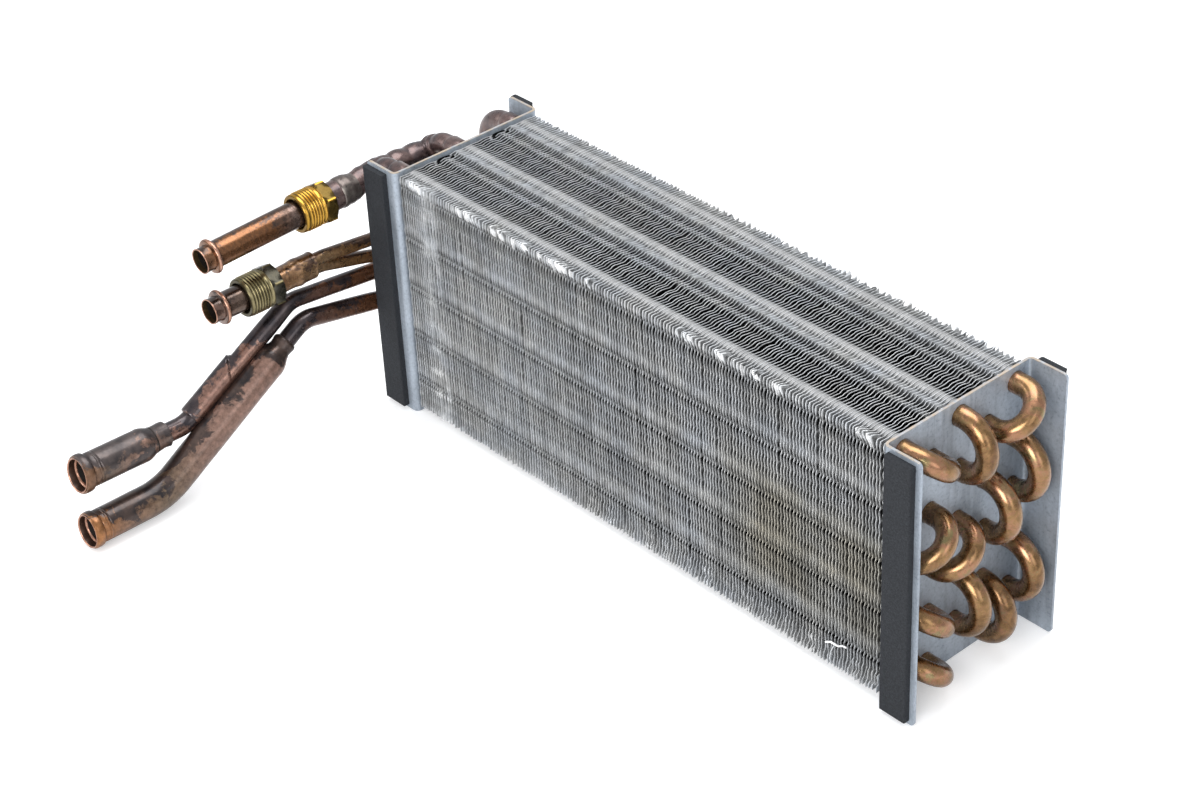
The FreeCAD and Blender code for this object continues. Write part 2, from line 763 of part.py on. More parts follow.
def make_liquid_sleeve():
    start = FreeCAD.Vector(-value(LIQUID_OFF), -value(LIQUID_NUT), value(LIQUID_Z))
    along = FreeCAD.Vector(0, 1, 0)
    neck = size("sleeve_neck")
    cone = neck + size("sleeve_cone")
    length = cone + size("sleeve_grip")
    wall = size("sleeve_wall")
    narrow = size("pilot_diameter") / 2 + size("tube_clearance")
    wide = value(SLEEVE_R) - wall
    steps = [(0, narrow + wall), (neck, narrow + wall), (cone, wide + wall), (length, wide + wall)]
    hollow = [(0, narrow), (neck, narrow), (cone, wide), (length, wide)]
    add_shape("liquid_sleeve", turned(start, along, steps).cut(turned(start, along, hollow)))


def make_feed(label, place, end, lead, radii):
    """A feed tube, widened at its coil end to fit the hairpin's bore."""
    centre = tube_centre(place)
    radius = size("feed_diameter") / 2
    wall = size("feed_wall")
    insert = size("feed_insert")
    cone = -size("swage_length")
    inside = end - FreeCAD.Vector(0, size("sleeve_grip"), 0)
    tip = FreeCAD.Vector(-size("leg_stickout") - size("swage_gap"), centre.y, centre.z)
    path = bent_path([inside] + lead + [tip], radii)
    swaged = size("tube_diameter") / 2 - size("tube_wall") - size("tube_clearance")
    along = FreeCAD.Vector(1, 0, 0)
    outer = turned(tip, along, [(cone, radius), (0, swaged), (insert, swaged)])
    inner = turned(tip, along, [(cone, radius - wall), (0, swaged - wall), (insert, swaged - wall)])
    solid = swept(path, radius).fuse(outer)
    add_shape(label, solid.cut(swept(path, radius - wall).fuse(inner)))


def make_feeds():
    upper, lower = feed_ends()
    rear = tube_centre(FEED_TUBES[0])
    front = tube_centre(FEED_TUBES[1])
    lead = FreeCAD.Vector(0, size("feed_lead"), 0)
    sweep = size("feed_sweep")
    bend = size("feed_bend")
    rear_x = -value(LIQUID_OFF) - size("rear_feed_out")
    turn_y = value(tube_y(1)) - size("rear_feed_lead")
    turn = FreeCAD.Vector(rear_x, turn_y, rear.z - size("rear_feed_dip"))
    corner = FreeCAD.Vector(rear_x, rear.y, rear.z)
    make_feed("liquid_feed_rear", FEED_TUBES[0], upper, [upper + lead, turn, corner], [sweep, sweep, bend])
    corner = FreeCAD.Vector(-value(LIQUID_OFF) - size("front_feed_out"), front.y, front.z)
    make_feed("liquid_feed_front", FEED_TUBES[1], lower, [lower + lead, corner], [sweep, bend])


# Water pipes: thin bent tubes that end in wide beaded hose ends
def slope():
    angle = math.radians(size("slope_angle"))
    return FreeCAD.Vector(0, -math.cos(angle), -math.sin(angle))


def water_tail(place, x):
    """The last straight leg of a water tube, inside the hairpin's end."""
    centre = tube_centre(place)
    corner = FreeCAD.Vector(x, centre.y, centre.z)
    tip = FreeCAD.Vector(size("socket_length") - size("leg_stickout"), centre.y, centre.z)
    return [corner, tip]


def hose_profile(length):
    """The rolled bead at a hose end's rim."""
    outer = size("hose_diameter") / 2
    bead = outer + size("hose_bead_rise")
    width = size("hose_bead_width")
    crown = width / 4
    return [
        (length - width - crown, outer),
        (length - width, bead - crown),
        (length - width + crown, bead),
        (length - crown, bead),
        (length, bead - crown),
    ]


def neck_profiles(cone):
    """Outer and inner steps of a hose end's neck, which fits over the water tube."""
    fit = value(WATER_R) + size("tube_clearance")
    neck = fit + size("neck_wall")
    outer = size("hose_diameter") / 2
    inner = outer - size("hose_wall")
    insert = size("neck_length")
    end = insert + cone
    return [(0, neck), (insert, neck), (end, outer)], [(0, fit), (insert, fit), (end, inner)]


def make_upper_water():
    x = -value(UPPER_OFF)
    point = FreeCAD.Vector
    kink_y = tube_centre(UPPER_WATER_TUBE).y - size("upper_kink_lead")
    feed_low = tube_centre(FEED_TUBES[1]).z - size("feed_diameter") / 2
    kink_z = feed_low - value(WATER_R) - size("pipe_clearance")
    crest = point(x, -value(UPPER_CREST_Y), value(UPPER_CREST_Z))
    dip = crest + slope() * size("upper_slope")
    tilt = math.radians(size("upper_hose_tilt"))
    away = point(0, -math.cos(tilt), math.sin(tilt))
    hose_start = dip + away * size("upper_dip_lead")
    first = hose_start + away * size("neck_length")
    points = [first, dip, crest, point(x, kink_y, kink_z)] + water_tail(UPPER_WATER_TUBE, x)
    bend = size("water_bend")
    radii = [bend, bend, bend, size("elbow_bend")]
    radius = value(WATER_R)
    add_shape("water_tube_upper", tube_shape(points, radii, radius, size("water_wall")))
    end = size("coupling_length")
    start = dip - slope() * (end + size("coupling_setback"))
    ring = value(COUPLING_R)
    edge = size("coupling_edge")
    fit = radius + size("tube_clearance")
    cover = turned(start, slope(), [(0, ring - edge / 2), (edge, ring), (end, ring)])
    add_shape("water_coupling", cover.cut(turned(start, slope(), [(0, fit), (end, fit)])))
    length = size("upper_hose_length")
    steps, hollow = neck_profiles(size("upper_cone"))
    steps += hose_profile(length)
    hollow.append((length, hollow[-1][1]))
    add_shape("hose_end_upper", turned(hose_start, away, steps).cut(turned(hose_start, away, hollow)))


def make_lower_water():
    x = -value(LOWER_OFF)
    point = FreeCAD.Vector
    corner, tip = water_tail(LOWER_WATER_TUBE, x)
    kink = corner + point(0, -size("lower_kink_lead"), size("lower_kink_rise"))
    crest = point(x, -size("lower_crest_reach"), value(LOWER_CREST_Z))
    level = size("lower_hose_height")
    dip = crest + slope() * ((crest.z - level) / math.sin(math.radians(size("slope_angle"))))
    rim = point(x, -size("lower_hose_reach"), level)
    neck_start = crest + slope() * size("lower_neck_start")
    insert = size("neck_length")
    points = [neck_start + slope() * insert, crest, kink, corner, tip]
    radii = [size("water_bend"), size("elbow_bend"), size("lower_elbow_bend")]
    add_shape("water_tube_lower", tube_shape(points, radii, value(WATER_R), size("water_wall")))
    cone = size("lower_cone")
    outer = size("hose_diameter") / 2
    path = bent_path([neck_start + slope() * (insert + cone), dip, rim], [size("lower_bend")])
    steps, core = neck_profiles(cone)
    rolled = turned(dip, point(0, -1, 0), hose_profile((rim - dip).Length))
    solid = swept(path, outer).fuse([turned(neck_start, slope(), steps), rolled])
    hollow = swept(path, outer - size("hose_wall")).fuse(turned(neck_start, slope(), core))
    add_shape("hose_end_lower", solid.cut(hollow))


make_fins()
make_plate("end_plate_left", False)
make_plate("end_plate_right", True)
make_foam("foam_left_front", False, False)
make_foam("foam_left_back", False, True)
make_foam("foam_right_front", True, False)
make_foam("foam_right_back", True, True)
for count, tubes in enumerate(HAIRPINS, start=1):
    make_hairpin(count, tubes)
for count, tubes in enumerate(RETURN_BENDS, start=1):
    make_return_bend(count, tubes)
make_union("suction_union", SUCTION_OFF, SUCTION_Z, SUCTION_NUT)
make_union("liquid_union", LIQUID_OFF, LIQUID_Z, LIQUID_NUT)
make_pilot("suction_tube", SUCTION_OFF, SUCTION_Z, SUCTION_NUT, "suction_sleeve_length", "suction_length")
make_pilot("liquid_tube", LIQUID_OFF, LIQUID_Z, LIQUID_NUT, "sleeve_neck", "liquid_length")
make_header()
make_stub("suction_stub_front", SUCTION_TUBES[0])
make_stub("suction_stub_back", SUCTION_TUBES[1])
make_suction_sleeve()
make_liquid_sleeve()
make_feeds()
make_upper_water()
make_lower_water()
doc.recompute()

for thing in doc.Objects:
    if "Invalid" in thing.State or "Error" in thing.State:
        raise RuntimeError(f"{thing.Name} failed: {thing.State}")
for part in parts:
    if part.Shape.isNull() or not part.Shape.isValid():
        raise RuntimeError(f"{part.Label} has no valid shape")

os.makedirs("parts", exist_ok=True)
for part in parts:
    part.Shape.exportStep(f"parts/{part.Label}.step")
    box = part.Shape.BoundBox
    low = f"{box.XMin:.1f}, {box.YMin:.1f}, {box.ZMin:.1f}"
    high = f"{box.XMax:.1f}, {box.YMax:.1f}, {box.ZMax:.1f}"
    print(f"{part.Label}: {len(part.Shape.Solids)} solid, {part.Shape.Volume:.0f} mm3, from {low} to {high}")
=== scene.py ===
"""Looks of a finned evaporator coil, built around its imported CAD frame.

Coil coordinates are in millimetres: x along the tubes from the pipe-side plate's outer face,
y back from the front flanges' outer faces, z up from the plates' feet. at() turns them into
scene metres.
"""

from math import ceil, copysign, cos, exp, hypot, pi, radians, sin, sqrt, tan

import bpy
import numpy as np
from mathutils import Matrix, Vector


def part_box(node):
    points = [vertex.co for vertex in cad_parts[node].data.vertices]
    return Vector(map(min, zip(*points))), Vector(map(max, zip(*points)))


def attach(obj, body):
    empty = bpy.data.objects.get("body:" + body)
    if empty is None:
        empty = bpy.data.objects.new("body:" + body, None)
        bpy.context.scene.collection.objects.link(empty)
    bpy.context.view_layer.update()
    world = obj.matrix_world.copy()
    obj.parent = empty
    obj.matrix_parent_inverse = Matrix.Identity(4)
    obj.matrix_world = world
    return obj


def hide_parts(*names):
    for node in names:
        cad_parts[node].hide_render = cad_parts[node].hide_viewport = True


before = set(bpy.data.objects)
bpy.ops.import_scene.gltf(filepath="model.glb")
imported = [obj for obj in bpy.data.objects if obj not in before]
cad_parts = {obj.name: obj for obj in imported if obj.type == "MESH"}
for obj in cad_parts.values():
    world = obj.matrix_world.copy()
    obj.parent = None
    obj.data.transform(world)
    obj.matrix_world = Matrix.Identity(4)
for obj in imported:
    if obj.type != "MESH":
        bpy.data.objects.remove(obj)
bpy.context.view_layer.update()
rng = np.random.default_rng(7)

# Sizes of the coil, in millimetres
LENGTH = 300
DEPTH = 85
HEIGHT = 129
GAUGE = 1.2
TUBE_R = 4.7
TUBE_WALL = 0.5
ROW = 25.4
COLUMN = 16.3
LOWEST = 7.5
STICKOUT = 10
BEND_REACH = 19.4
SOCKET = 6.5
SOCKET_R = 5.35
FIN_PITCH = 1.8
FOAM_T = 3

plate_low, plate_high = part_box("end_plate_left")
ORIGIN = Vector((plate_high.x - GAUGE / 1000, plate_low.y, 0))
fin_low, fin_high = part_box("fins")
FIN_Y = ((fin_low.y - ORIGIN.y) * 1000, (fin_high.y - ORIGIN.y) * 1000)
FIN_Z = (fin_low.z * 1000, fin_high.z * 1000)


def at(x, y, z):
    return ORIGIN + Vector((x, y, z)) / 1000


def x_at(x):
    return at(x, 0, 0).x


def y_at(y):
    return at(0, y, 0).y


def tube(column, row):
    """The y and z of a tube place."""
    y = DEPTH / 2 + (column - 2) * COLUMN
    return y, LOWEST + (row + (0.5 if column % 2 == 0 else 0)) * ROW


# Meshes
SHARP = radians(40)
ARC_STEP = 0.8
PHASES = 6.28


def add_piece(name, verts, faces, material, slot, replaced=(), smooth=True, others=(), chosen=None):
    """A mesh object from coil points in millimetres. chosen gives each face its material's number."""
    mesh = bpy.data.meshes.new(name)
    points = np.asarray(verts, float) / 1000 + np.array(ORIGIN)
    mesh.from_pydata(points.tolist(), [], faces)
    mesh.update()
    mesh.polygons.foreach_set("use_smooth", [smooth] * len(mesh.polygons))
    if smooth:
        mesh.set_sharp_from_angle(angle=SHARP)
    piece = bpy.data.objects.new(name, mesh)
    bpy.context.scene.collection.objects.link(piece)
    for each in (material, *others):
        mesh.materials.append(each)
    if others:
        mesh.polygons.foreach_set("material_index", chosen)
    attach(piece, "root")
    if replaced:
        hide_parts(*replaced)


class Path:
    """Straight runs joined by arcs, followed by distance."""

    def __init__(self, points, radii=()):
        points = [Vector(p) for p in points]
        line = [points[0]]
        for corner, before, after, radius in zip(points[1:-1], points, points[2:], radii):
            inward = (before - corner).normalized()
            outward = (after - corner).normalized()
            half = (pi - inward.angle(outward)) / 2
            reach = radius * tan(half)
            centre = corner + (inward + outward).normalized() * radius / cos(half)
            a, b = corner + inward * reach - centre, corner + outward * reach - centre
            pieces = max(4, round(2 * half * radius / ARC_STEP))
            line += [centre + a.slerp(b, k / pieces) * radius for k in range(pieces + 1)]
        line.append(points[-1])
        self.points = [line[0]]
        for p in line[1:]:
            if (p - self.points[-1]).length > 1e-4:
                self.points.append(p)
        self.at = [0]
        for a, b in zip(self.points, self.points[1:]):
            self.at.append(self.at[-1] + (b - a).length)
        self.length = self.at[-1]
        first = (self.points[1] - self.points[0]).normalized()
        side = Vector((0, 0, 1)) if abs(first.z) < 0.9 else Vector((1, 0, 0))
        normal = (side - first * side.dot(first)).normalized()
        self.frames = []
        for k in range(len(self.points)):
            a = self.points[max(0, k - 1)]
            b = self.points[min(len(self.points) - 1, k + 1)]
            along = (b - a).normalized()
            normal = (normal - along * normal.dot(along)).normalized()
            self.frames.append((along, normal))

    def place(self, s):
        """The point, direction and normal at a distance, which may lie past either end."""
        k = int(np.searchsorted(self.at, s, side="right")) - 1
        k = max(0, min(k, len(self.points) - 2))
        f = (s - self.at[k]) / (self.at[k + 1] - self.at[k])
        point = self.points[k].lerp(self.points[k + 1], f)
        g = min(1, max(0, f))
        along = self.frames[k][0].lerp(self.frames[k + 1][0], g).normalized()
        normal = self.frames[k][1].lerp(self.frames[k + 1][1], g)
        return point, along, (normal - along * normal.dot(along)).normalized()


def ring_faces(rings, sides):
    """Quads between rings of vertices."""
    faces = []
    for j in range(rings - 1):
        for k in range(sides):
            n = (k + 1) % sides
            faces.append((j * sides + k, j * sides + n, (j + 1) * sides + n, (j + 1) * sides + k))
    return faces


def sweep(path, steps, sides, dent=None, shape=None):
    """Rings of vertices along a path. Steps are (distance, radius) pairs, and may turn back inside."""
    verts = []
    for s, radius in steps:
        point, along, normal = path.place(s)
        across = along.cross(normal)
        for k in range(sides):
            angle = 2 * pi * k / sides
            r = shape(angle, s, radius) if shape else radius
            if dent:
                r += dent(s, angle)
            verts.append(point + (normal * cos(angle) + across * sin(angle)) * r)
    return verts, ring_faces(len(steps), sides)


def add_sweep(name, path, steps, sides, dent, material, replaced=None, slot="oxidised_copper", shape=None, **paint):
    """A swept piece. Unless told otherwise, it replaces the node whose name it bears before its last word."""
    if replaced is None:
        replaced = [name.rpartition("_")[0]]
    add_piece(name, *sweep(path, steps, sides, dent, shape), material, slot, replaced, **paint)


def merge(*parts):
    verts, faces = [], []
    for v, f in parts:
        base = len(verts)
        verts.extend(v)
        faces.extend(tuple(i + base for i in face) for face in f)
    return verts, faces


def painted(steps, sides, *marks):
    """Material numbers of a sweep's faces. Marks are (first step, last step, number)."""
    rows = np.zeros(len(steps) - 1, np.int32)
    for first, last, number in marks:
        rows[first:last] = number
    return np.repeat(rows, sides)


def runs(start, end, step, radius):
    """Steps of one radius from start to end."""
    count = max(1, ceil(abs(end - start) / step))
    return [(start + (end - start) * k / count, radius) for k in range(count + 1)]


def profile(start, radius, *marks):
    """Steps counted from a distance and a radius."""
    return [(start + s, radius + r) for s, r in marks]


def bead(middle, reach, radius, height, power):
    """Steps over a round bead."""
    turns = [pi * k / 8 for k in range(9)]
    return [(middle - reach * cos(turn), radius + height * sin(turn) ** power) for turn in turns]


def smooth(t):
    """A soft step from 0 to 1 while t goes from 0 to 1."""
    t = np.clip(t, 0, 1)
    return t * t * (3 - 2 * t)


def wobble(seed, amount, length=6):
    """A smooth unevenness of a drawn and brazed tube."""
    phase = np.random.default_rng(seed).uniform(0, PHASES, 6)

    def dent(s, angle):
        t = s / length
        return amount * (
            sin(t + phase[0] + 2 * angle) * 0.5
            + sin(1.7 * t + phase[1] - angle) * 0.3
            + sin(2.9 * t + phase[2] + 3 * angle) * 0.2
        )

    return dent


def dips(seed, amount):
    """The same unevenness, inwards only."""
    uneven = wobble(seed, amount)
    return lambda s, angle: uneven(s, angle) - amount


def bumps(*lumps):
    """Brazing lumps as (distance, angle in degrees, height, length, spread in radians)."""

    def dent(s, angle):
        total = 0
        for where, turn, height, length, spread in lumps:
            off = (angle - radians(turn) + pi) % (2 * pi) - pi
            total += height * exp(-(((s - where) / length) ** 2) - (off / spread) ** 2)
        return total

    return dent


def both(*dents):
    return lambda s, angle: sum(dent(s, angle) for dent in dents)


# Materials
def rgba(tone):
    """A colour, or a number for a grey, with full alpha."""
    return (*tone, 1) if isinstance(tone, tuple) else (tone, tone, tone, 1)


class Look:
    """A material and the nodes that feed its shader. Its coordinates are scene metres."""

    def __init__(self, name, metallic=0, roughness=0.5, specular=0.5):
        self.material = bpy.data.materials.new(name)
        self.material.use_nodes = True
        self.tree = self.material.node_tree
        self.shader = self.tree.nodes["Principled BSDF"]
        self.set("Metallic", metallic)
        self.set("Roughness", roughness)
        self.set("Specular IOR Level", specular)

    def feed(self, socket, value):
        """Links a node's output to a socket, or sets a number or a colour on it."""
        if hasattr(value, "links"):
            self.tree.links.new(value, socket)
        else:
            socket.default_value = rgba(value) if socket.type == "RGBA" else value

    def set(self, name, value):
        self.feed(self.shader.inputs[name], value)

    def node(self, kind, **settings):
        """A new node. A setting is an input or, where no input has its name, a property."""
        made = self.tree.nodes.new("ShaderNode" + kind)
        for key, value in settings.items():
            name = key.replace("_", " ")
            if name in made.inputs:
                self.feed(made.inputs[name], value)
            else:
                setattr(made, key, value)
        return made

    def noise(self, scale, detail=4, roughness=0.55, stretch=(1, 1, 1), distortion=0):
        place = self.node("TexCoord").outputs["Object"]
        place = self.node("Mapping", Scale=stretch, Vector=place).outputs["Vector"]
        made = self.node("TexNoise", Scale=scale, Detail=detail, Roughness=roughness, Distortion=distortion)
        self.feed(made.inputs["Vector"], place)
        return made.outputs["Fac"]

    def ramp(self, factor, *stops):
        """Colours, or numbers for greys, by position."""
        made = self.node("ValToRGB", Fac=factor)
        band = made.color_ramp
        while len(band.elements) < len(stops):
            band.elements.new(0.5)
        for element, (position, tone) in zip(band.elements, stops):
            element.position = position
            element.color = rgba(tone)
        return made.outputs["Color"]

    def mix(self, factor, a, b, blend="MIX"):
        made = self.node("Mix", data_type="RGBA", blend_type=blend)
        for number, value in ((0, factor), (6, a), (7, b)):
            self.feed(made.inputs[number], value)
        return made.outputs[2]

    def tint(self, base, tone):
        """Two colours multiplied."""
        return self.mix(1, base, tone, "MULTIPLY")

    def calc(self, operation, a, b=0):
        made = self.node("Math", operation=operation)
        self.feed(made.inputs[0], a)
        self.feed(made.inputs[1], b)
        return made.outputs[0]

    def plus(self, a, b):
        return self.calc("ADD", a, b)

    def minus(self, a, b):
        return self.calc("SUBTRACT", a, b)

    def times(self, value, *others):
        for other in others:
            value = self.calc("MULTIPLY", value, other)
        return value

    def distance(self, a, b):
        """How far a point lies from an axis, by its two offsets."""
        return self.calc("SQRT", self.plus(self.calc("POWER", a, 2), self.calc("POWER", b, 2)))

    def position(self):
        """The x, y and z of a point."""
        place = self.node("TexCoord").outputs["Object"]
        return self.node("SeparateXYZ", Vector=place).outputs

    def fade(self, value, start, end, low=0, high=1, kind="SMOOTHSTEP"):
        """Low before start, high after end."""
        made = self.node("MapRange", interpolation_type=kind, Value=value, To_Min=low, To_Max=high)
        self.feed(made.inputs["From Min"], start)
        self.feed(made.inputs["From Max"], end)
        return made.outputs[0]

    def band(self, value, low, high, soft):
        """1 between low and high, falling off over soft on both sides."""
        return self.times(self.fade(value, low - soft, low + soft), self.fade(value, high + soft, high - soft))

    def falloff(self, value, start, end):
        """1 before start, 0 after end, both in mm."""
        return self.fade(value, start / 1000, end / 1000, 1, 0)

    def repeat(self, value, start, period):
        """Where a coordinate lies in its period, from 0 to 1."""
        return self.calc("FRACT", self.calc("DIVIDE", self.minus(value, start), period / 1000))

    def paint(self, tone):
        self.set("Base Color", tone)

    def rough(self, source, low, high):
        self.set("Roughness", self.ramp(source, (0.3, low), (0.7, high)))

    def film(self, weight, roughness):
        """A thin oxide film that gives pale highlights."""
        self.set("Coat Weight", weight)
        self.set("Coat Roughness", roughness)

    def bump(self, height, strength, distance):
        made = self.node("Bump", Strength=strength, Distance=distance, Height=height)
        self.set("Normal", made.outputs["Normal"])


def aluminium_fins():
    """Fin edges in bright aluminium over gaps painted darker with depth as shade, in bands of painted light and shade
    that the tubes and waves leave.
    """
    look = Look("fin_aluminium", metallic=0.55)
    x, y, z = look.position()
    above = look.minus(FIN_Z[1] / 1000, z)
    ahead = look.minus(y, y_at(FIN_Y[0]))
    behind = look.minus(y_at(FIN_Y[1]), y)
    below = look.minus(z, FIN_Z[0] / 1000)
    along = look.minus(x, ORIGIN.x)
    depth = look.calc("MINIMUM", look.calc("MINIMUM", above, ahead), look.calc("MINIMUM", behind, below))
    on_top = look.calc("LESS_THAN", above, ahead)

    # Painted light and shade in bands that repeat with the tube rows on the front, and with two tube columns on top
    row = look.repeat(z, (tube(0, 0)[1] - 0.8) / 1000, ROW)
    front_rim_shading = look.ramp(
        row, (0, 1), (0.035, 1), (0.055, 0.45), (0.12, 0.72), (0.18, 0.95), (0.25, 1), (0.31, 0.92),
        (0.38, 0.82), (0.46, 0.88), (0.5, 1), (0.54, 0.86), (0.63, 0.8), (0.71, 0.88), (0.75, 1), (0.79, 0.84),
        (0.89, 0.72), (0.945, 0.45), (0.965, 1), (1, 1))
    front_gap_shading = look.ramp(
        row, (0, 0.8), (0.035, 0.6), (0.055, 0.01), (0.11, 0.1), (0.165, 0.72), (0.25, 0.95), (0.31, 0.34),
        (0.38, 0.12), (0.46, 0.2), (0.5, 0.78), (0.54, 0.2), (0.63, 0.1), (0.71, 0.2), (0.75, 0.72), (0.79, 0.14),
        (0.88, 0.03), (0.945, 0), (0.965, 0.6), (1, 0.8))
    column = look.repeat(y, y_at(3.5), 2 * COLUMN)
    top_rim_shading = look.ramp(
        column, (0, 1), (0.07, 1), (0.1, 0.8), (0.22, 0.78), (0.28, 0.88), (0.36, 0.95), (0.7, 0.95),
        (0.76, 1), (0.81, 1), (0.84, 0.75), (0.93, 0.85), (0.98, 1))
    top_gap_shading = look.ramp(
        column, (0, 0.9), (0.06, 0.9), (0.09, 0.35), (0.18, 0.4), (0.24, 0.15), (0.28, 0.03), (0.34, 0.004),
        (0.7, 0.004), (0.735, 0.25), (0.75, 0.75), (0.77, 0.15), (0.79, 0.75), (0.82, 0.01), (0.88, 0.1),
        (0.96, 0.3), (0.98, 0.9))

    # Painted shade in a band under the top edge, painted light on the top front corner, in the gaps near the back and
    # bottom rims and towards the left plate, and the crushed fins near the left plate, where the painted gap shade is
    # lifted
    under = look.times(look.band(above, 0.0062, 0.01, 0.0007), look.falloff(ahead, 2, 4.5))
    front_rim_shading = look.mix(look.times(under, 0.75), front_rim_shading, 0.5)
    front_gap_shading = look.mix(under, front_gap_shading, 0.01)
    corner = look.times(look.falloff(above, 2.5, 4.5), look.falloff(ahead, 2, 4.5))
    light_edge = look.calc("MAXIMUM", look.falloff(behind, 4.5, 9), look.falloff(below, 4, 16))
    edge = look.mix(corner, look.mix(on_top, front_rim_shading, top_rim_shading), 1)
    gap_shading = look.mix(corner, look.mix(on_top, front_gap_shading, top_gap_shading), 0.28)
    gap_shading = look.mix(look.times(light_edge, 0.8), gap_shading, 0.55)
    left = look.times(look.falloff(along, 60, 150), look.ramp(on_top, (0, 0.2), (1, 0.05)))
    gap_shading = look.mix(left, gap_shading, 0.85)
    crushed = look.times(
        look.band(along, 0.0155, 0.0265, 0.002), look.falloff(ahead, 4, 9),
        look.ramp(look.noise(130), (0.42, 0.1), (0.6, 1)))
    gap_shading = look.mix(crushed, gap_shading, 0.9)
    edge = look.mix(crushed, edge, 1)
    # Rim tone near the fin edges, gap tone deeper in: painted shade that deepens with depth under the edges
    near = look.mix(on_top, look.falloff(depth, 0.35, 0.95), look.falloff(depth, 0.14, 0.4))
    base = look.mix(near, gap_shading, edge)

    # Crescent slots on top beside the left plate, painted in: a dark slot of painted shade and a painted highlight on
    # its rim
    near_plate = look.times(look.falloff(along, 5, 6.5), look.falloff(above, 4, 6))
    for slot_y in (27, 59.6):
        distance = look.distance(look.minus(along, 0.0065), look.minus(y, y_at(slot_y)))
        slot = look.times(look.band(distance, 0.0036, 0.0052, 0.0003), near_plate)
        rim = look.times(look.band(distance, 0.0054, 0.0064, 0.0003), near_plate)
        base = look.mix(rim, look.mix(slot, base, 0.003), 1)
    uneven = look.noise(800, 3, stretch=(1, 0.05, 0.05))
    base = look.tint(base, look.ramp(uneven, (0.33, 0.62), (0.58, 1)))

    # A brownish patch towards the right plate
    patch = look.times(
        look.band(x, x_at(212), x_at(306), 0.016), look.band(z, 0.024, 0.082, 0.014),
        look.band(y, -1, y_at(14), 0.004), look.ramp(look.noise(55), (0.3, 0.45), (0.6, 1)))
    base = look.mix(patch, base, (0.84, 0.79, 0.68), "MULTIPLY")
    cast = look.ramp(look.noise(60), (0.35, (0.93, 0.96, 1)), (0.65, (1, 1, 0.99)))
    look.paint(look.tint(base, cast))
    look.rough(look.noise(400, 3), 0.28, 0.46)
    return look.material


def painted_highlight_aluminium():
    """A brighter copy of the fin aluminium: a painted highlight on folded hems and the torn strip."""
    look = Look("painted_highlight_aluminium", metallic=0.3)
    look.paint(look.ramp(look.noise(300, 3), (0.3, 0.86), (0.6, 1)))
    look.rough(look.noise(500, 3), 0.3, 0.5)
    return look.material


def collar_aluminium():
    """Aluminium of the collars round the tubes, painted dull and dark as shade, and nearly black below the fins' top as
    painted shadow.
    """
    look = Look("collar_aluminium", metallic=0.5)
    shade = look.falloff(look.minus(FIN_Z[1] / 1000, look.position()[2]), 0.6, 2.4)
    look.paint(look.mix(shade, 0.05, look.ramp(look.noise(300, 3), (0.3, 0.24), (0.7, 0.32))))
    look.rough(look.noise(500, 3), 0.5, 0.7)
    return look.material


def galvanised():
    """Speckled, streaked zinc with a stained upper rim."""
    look = Look("galvanised_sheet", metallic=0.55)
    speckle = look.noise(700, 3, 0.7)
    cloud = look.noise(45)
    fine = look.ramp(speckle, (0.3, (0.18, 0.21, 0.25)), (0.42, (0.34, 0.385, 0.44)), (0.68, (0.45, 0.5, 0.565)))
    base = look.mix(0.35, fine, look.ramp(cloud, (0.35, (0.3, 0.34, 0.39)), (0.65, (0.48, 0.53, 0.59))))
    streak = look.noise(160, stretch=(1, 1, 0.08))
    base = look.tint(base, look.ramp(streak, (0.36, 0.78), (0.5, 1), (0.66, 1.06)))
    rim = look.band(look.position()[2], (HEIGHT - 0.25) / 1000, 1, 0.0002)
    stain = look.ramp(look.noise(260, 3), (0.35, 0.15), (0.6, 0.8))
    look.paint(look.mix(look.times(rim, stain), base, (0.48, 0.37, 0.25)))
    look.rough(cloud, 0.42, 0.6)
    look.bump(speckle, 0.12, 0.0002)
    return look.material


def foam_rubber():
    look = Look("sealing_foam", roughness=0.85, specular=0.3)
    grain = look.noise(1500, roughness=0.7)
    look.paint(look.ramp(grain, (0.3, (0.01, 0.011, 0.013)), (0.75, (0.032, 0.035, 0.041))))
    look.bump(grain, 0.5, 0.0004)
    return look.material


def copper(name, stops, scale, metallic, rough, grain=0.15, coat=0.25):
    """Copper in the tones of stops, in cloudy patches with a finer grain over them."""
    look = Look(name, metallic)
    look.film(coat, 0.2)
    patches = look.noise(scale, 5, 0.6, distortion=0.6)
    fine = look.noise(scale * 6, 3)
    look.paint(look.mix(0.25, look.ramp(patches, *stops), look.ramp(fine, *stops)))
    look.rough(fine, *rough)
    look.bump(fine, grain, 0.0003)
    return look.material


def brass(name, stops, hex_stops, x0, z0, back, rough):
    """Turned brass: painted shade in the thread's valleys, dark on the flats, worn bright on crests and corners."""
    look = Look(name, metallic=0.9)
    patches = look.noise(160)
    fine = look.noise(900, 3, stretch=(1, 3, 1))
    x, y, z = look.position()
    radius = look.distance(look.minus(x, x_at(x0)), look.minus(z, z0 / 1000))
    hex_front = y_at(-back - HEX_LENGTH) * 1000
    # Painted shade darkens the thread's valleys
    valley_shade = look.times(
        look.falloff(radius, THREAD_R - THREAD_DEPTH, THREAD_R - 0.15),
        look.falloff(y, hex_front - 1.6, hex_front - 1.2))
    on_flats = look.minus(1, look.falloff(y, hex_front - 0.2, hex_front + 0.2))
    corners = look.falloff(look.minus((HEX_FLAT + 1.25) / 1000, radius), 0, 0.25)
    colour = look.mix(look.times(valley_shade, 0.85), look.ramp(patches, *stops), tuple(v * 0.1 for v in stops[0][1]))
    colour = look.mix(on_flats, colour, look.mix(corners, look.ramp(patches, *hex_stops), stops[0][1]))
    look.paint(look.mix(0.12, colour, look.ramp(fine, *stops)))
    look.rough(patches, *rough)
    look.bump(fine, 0.08, 0.0002)
    return look.material


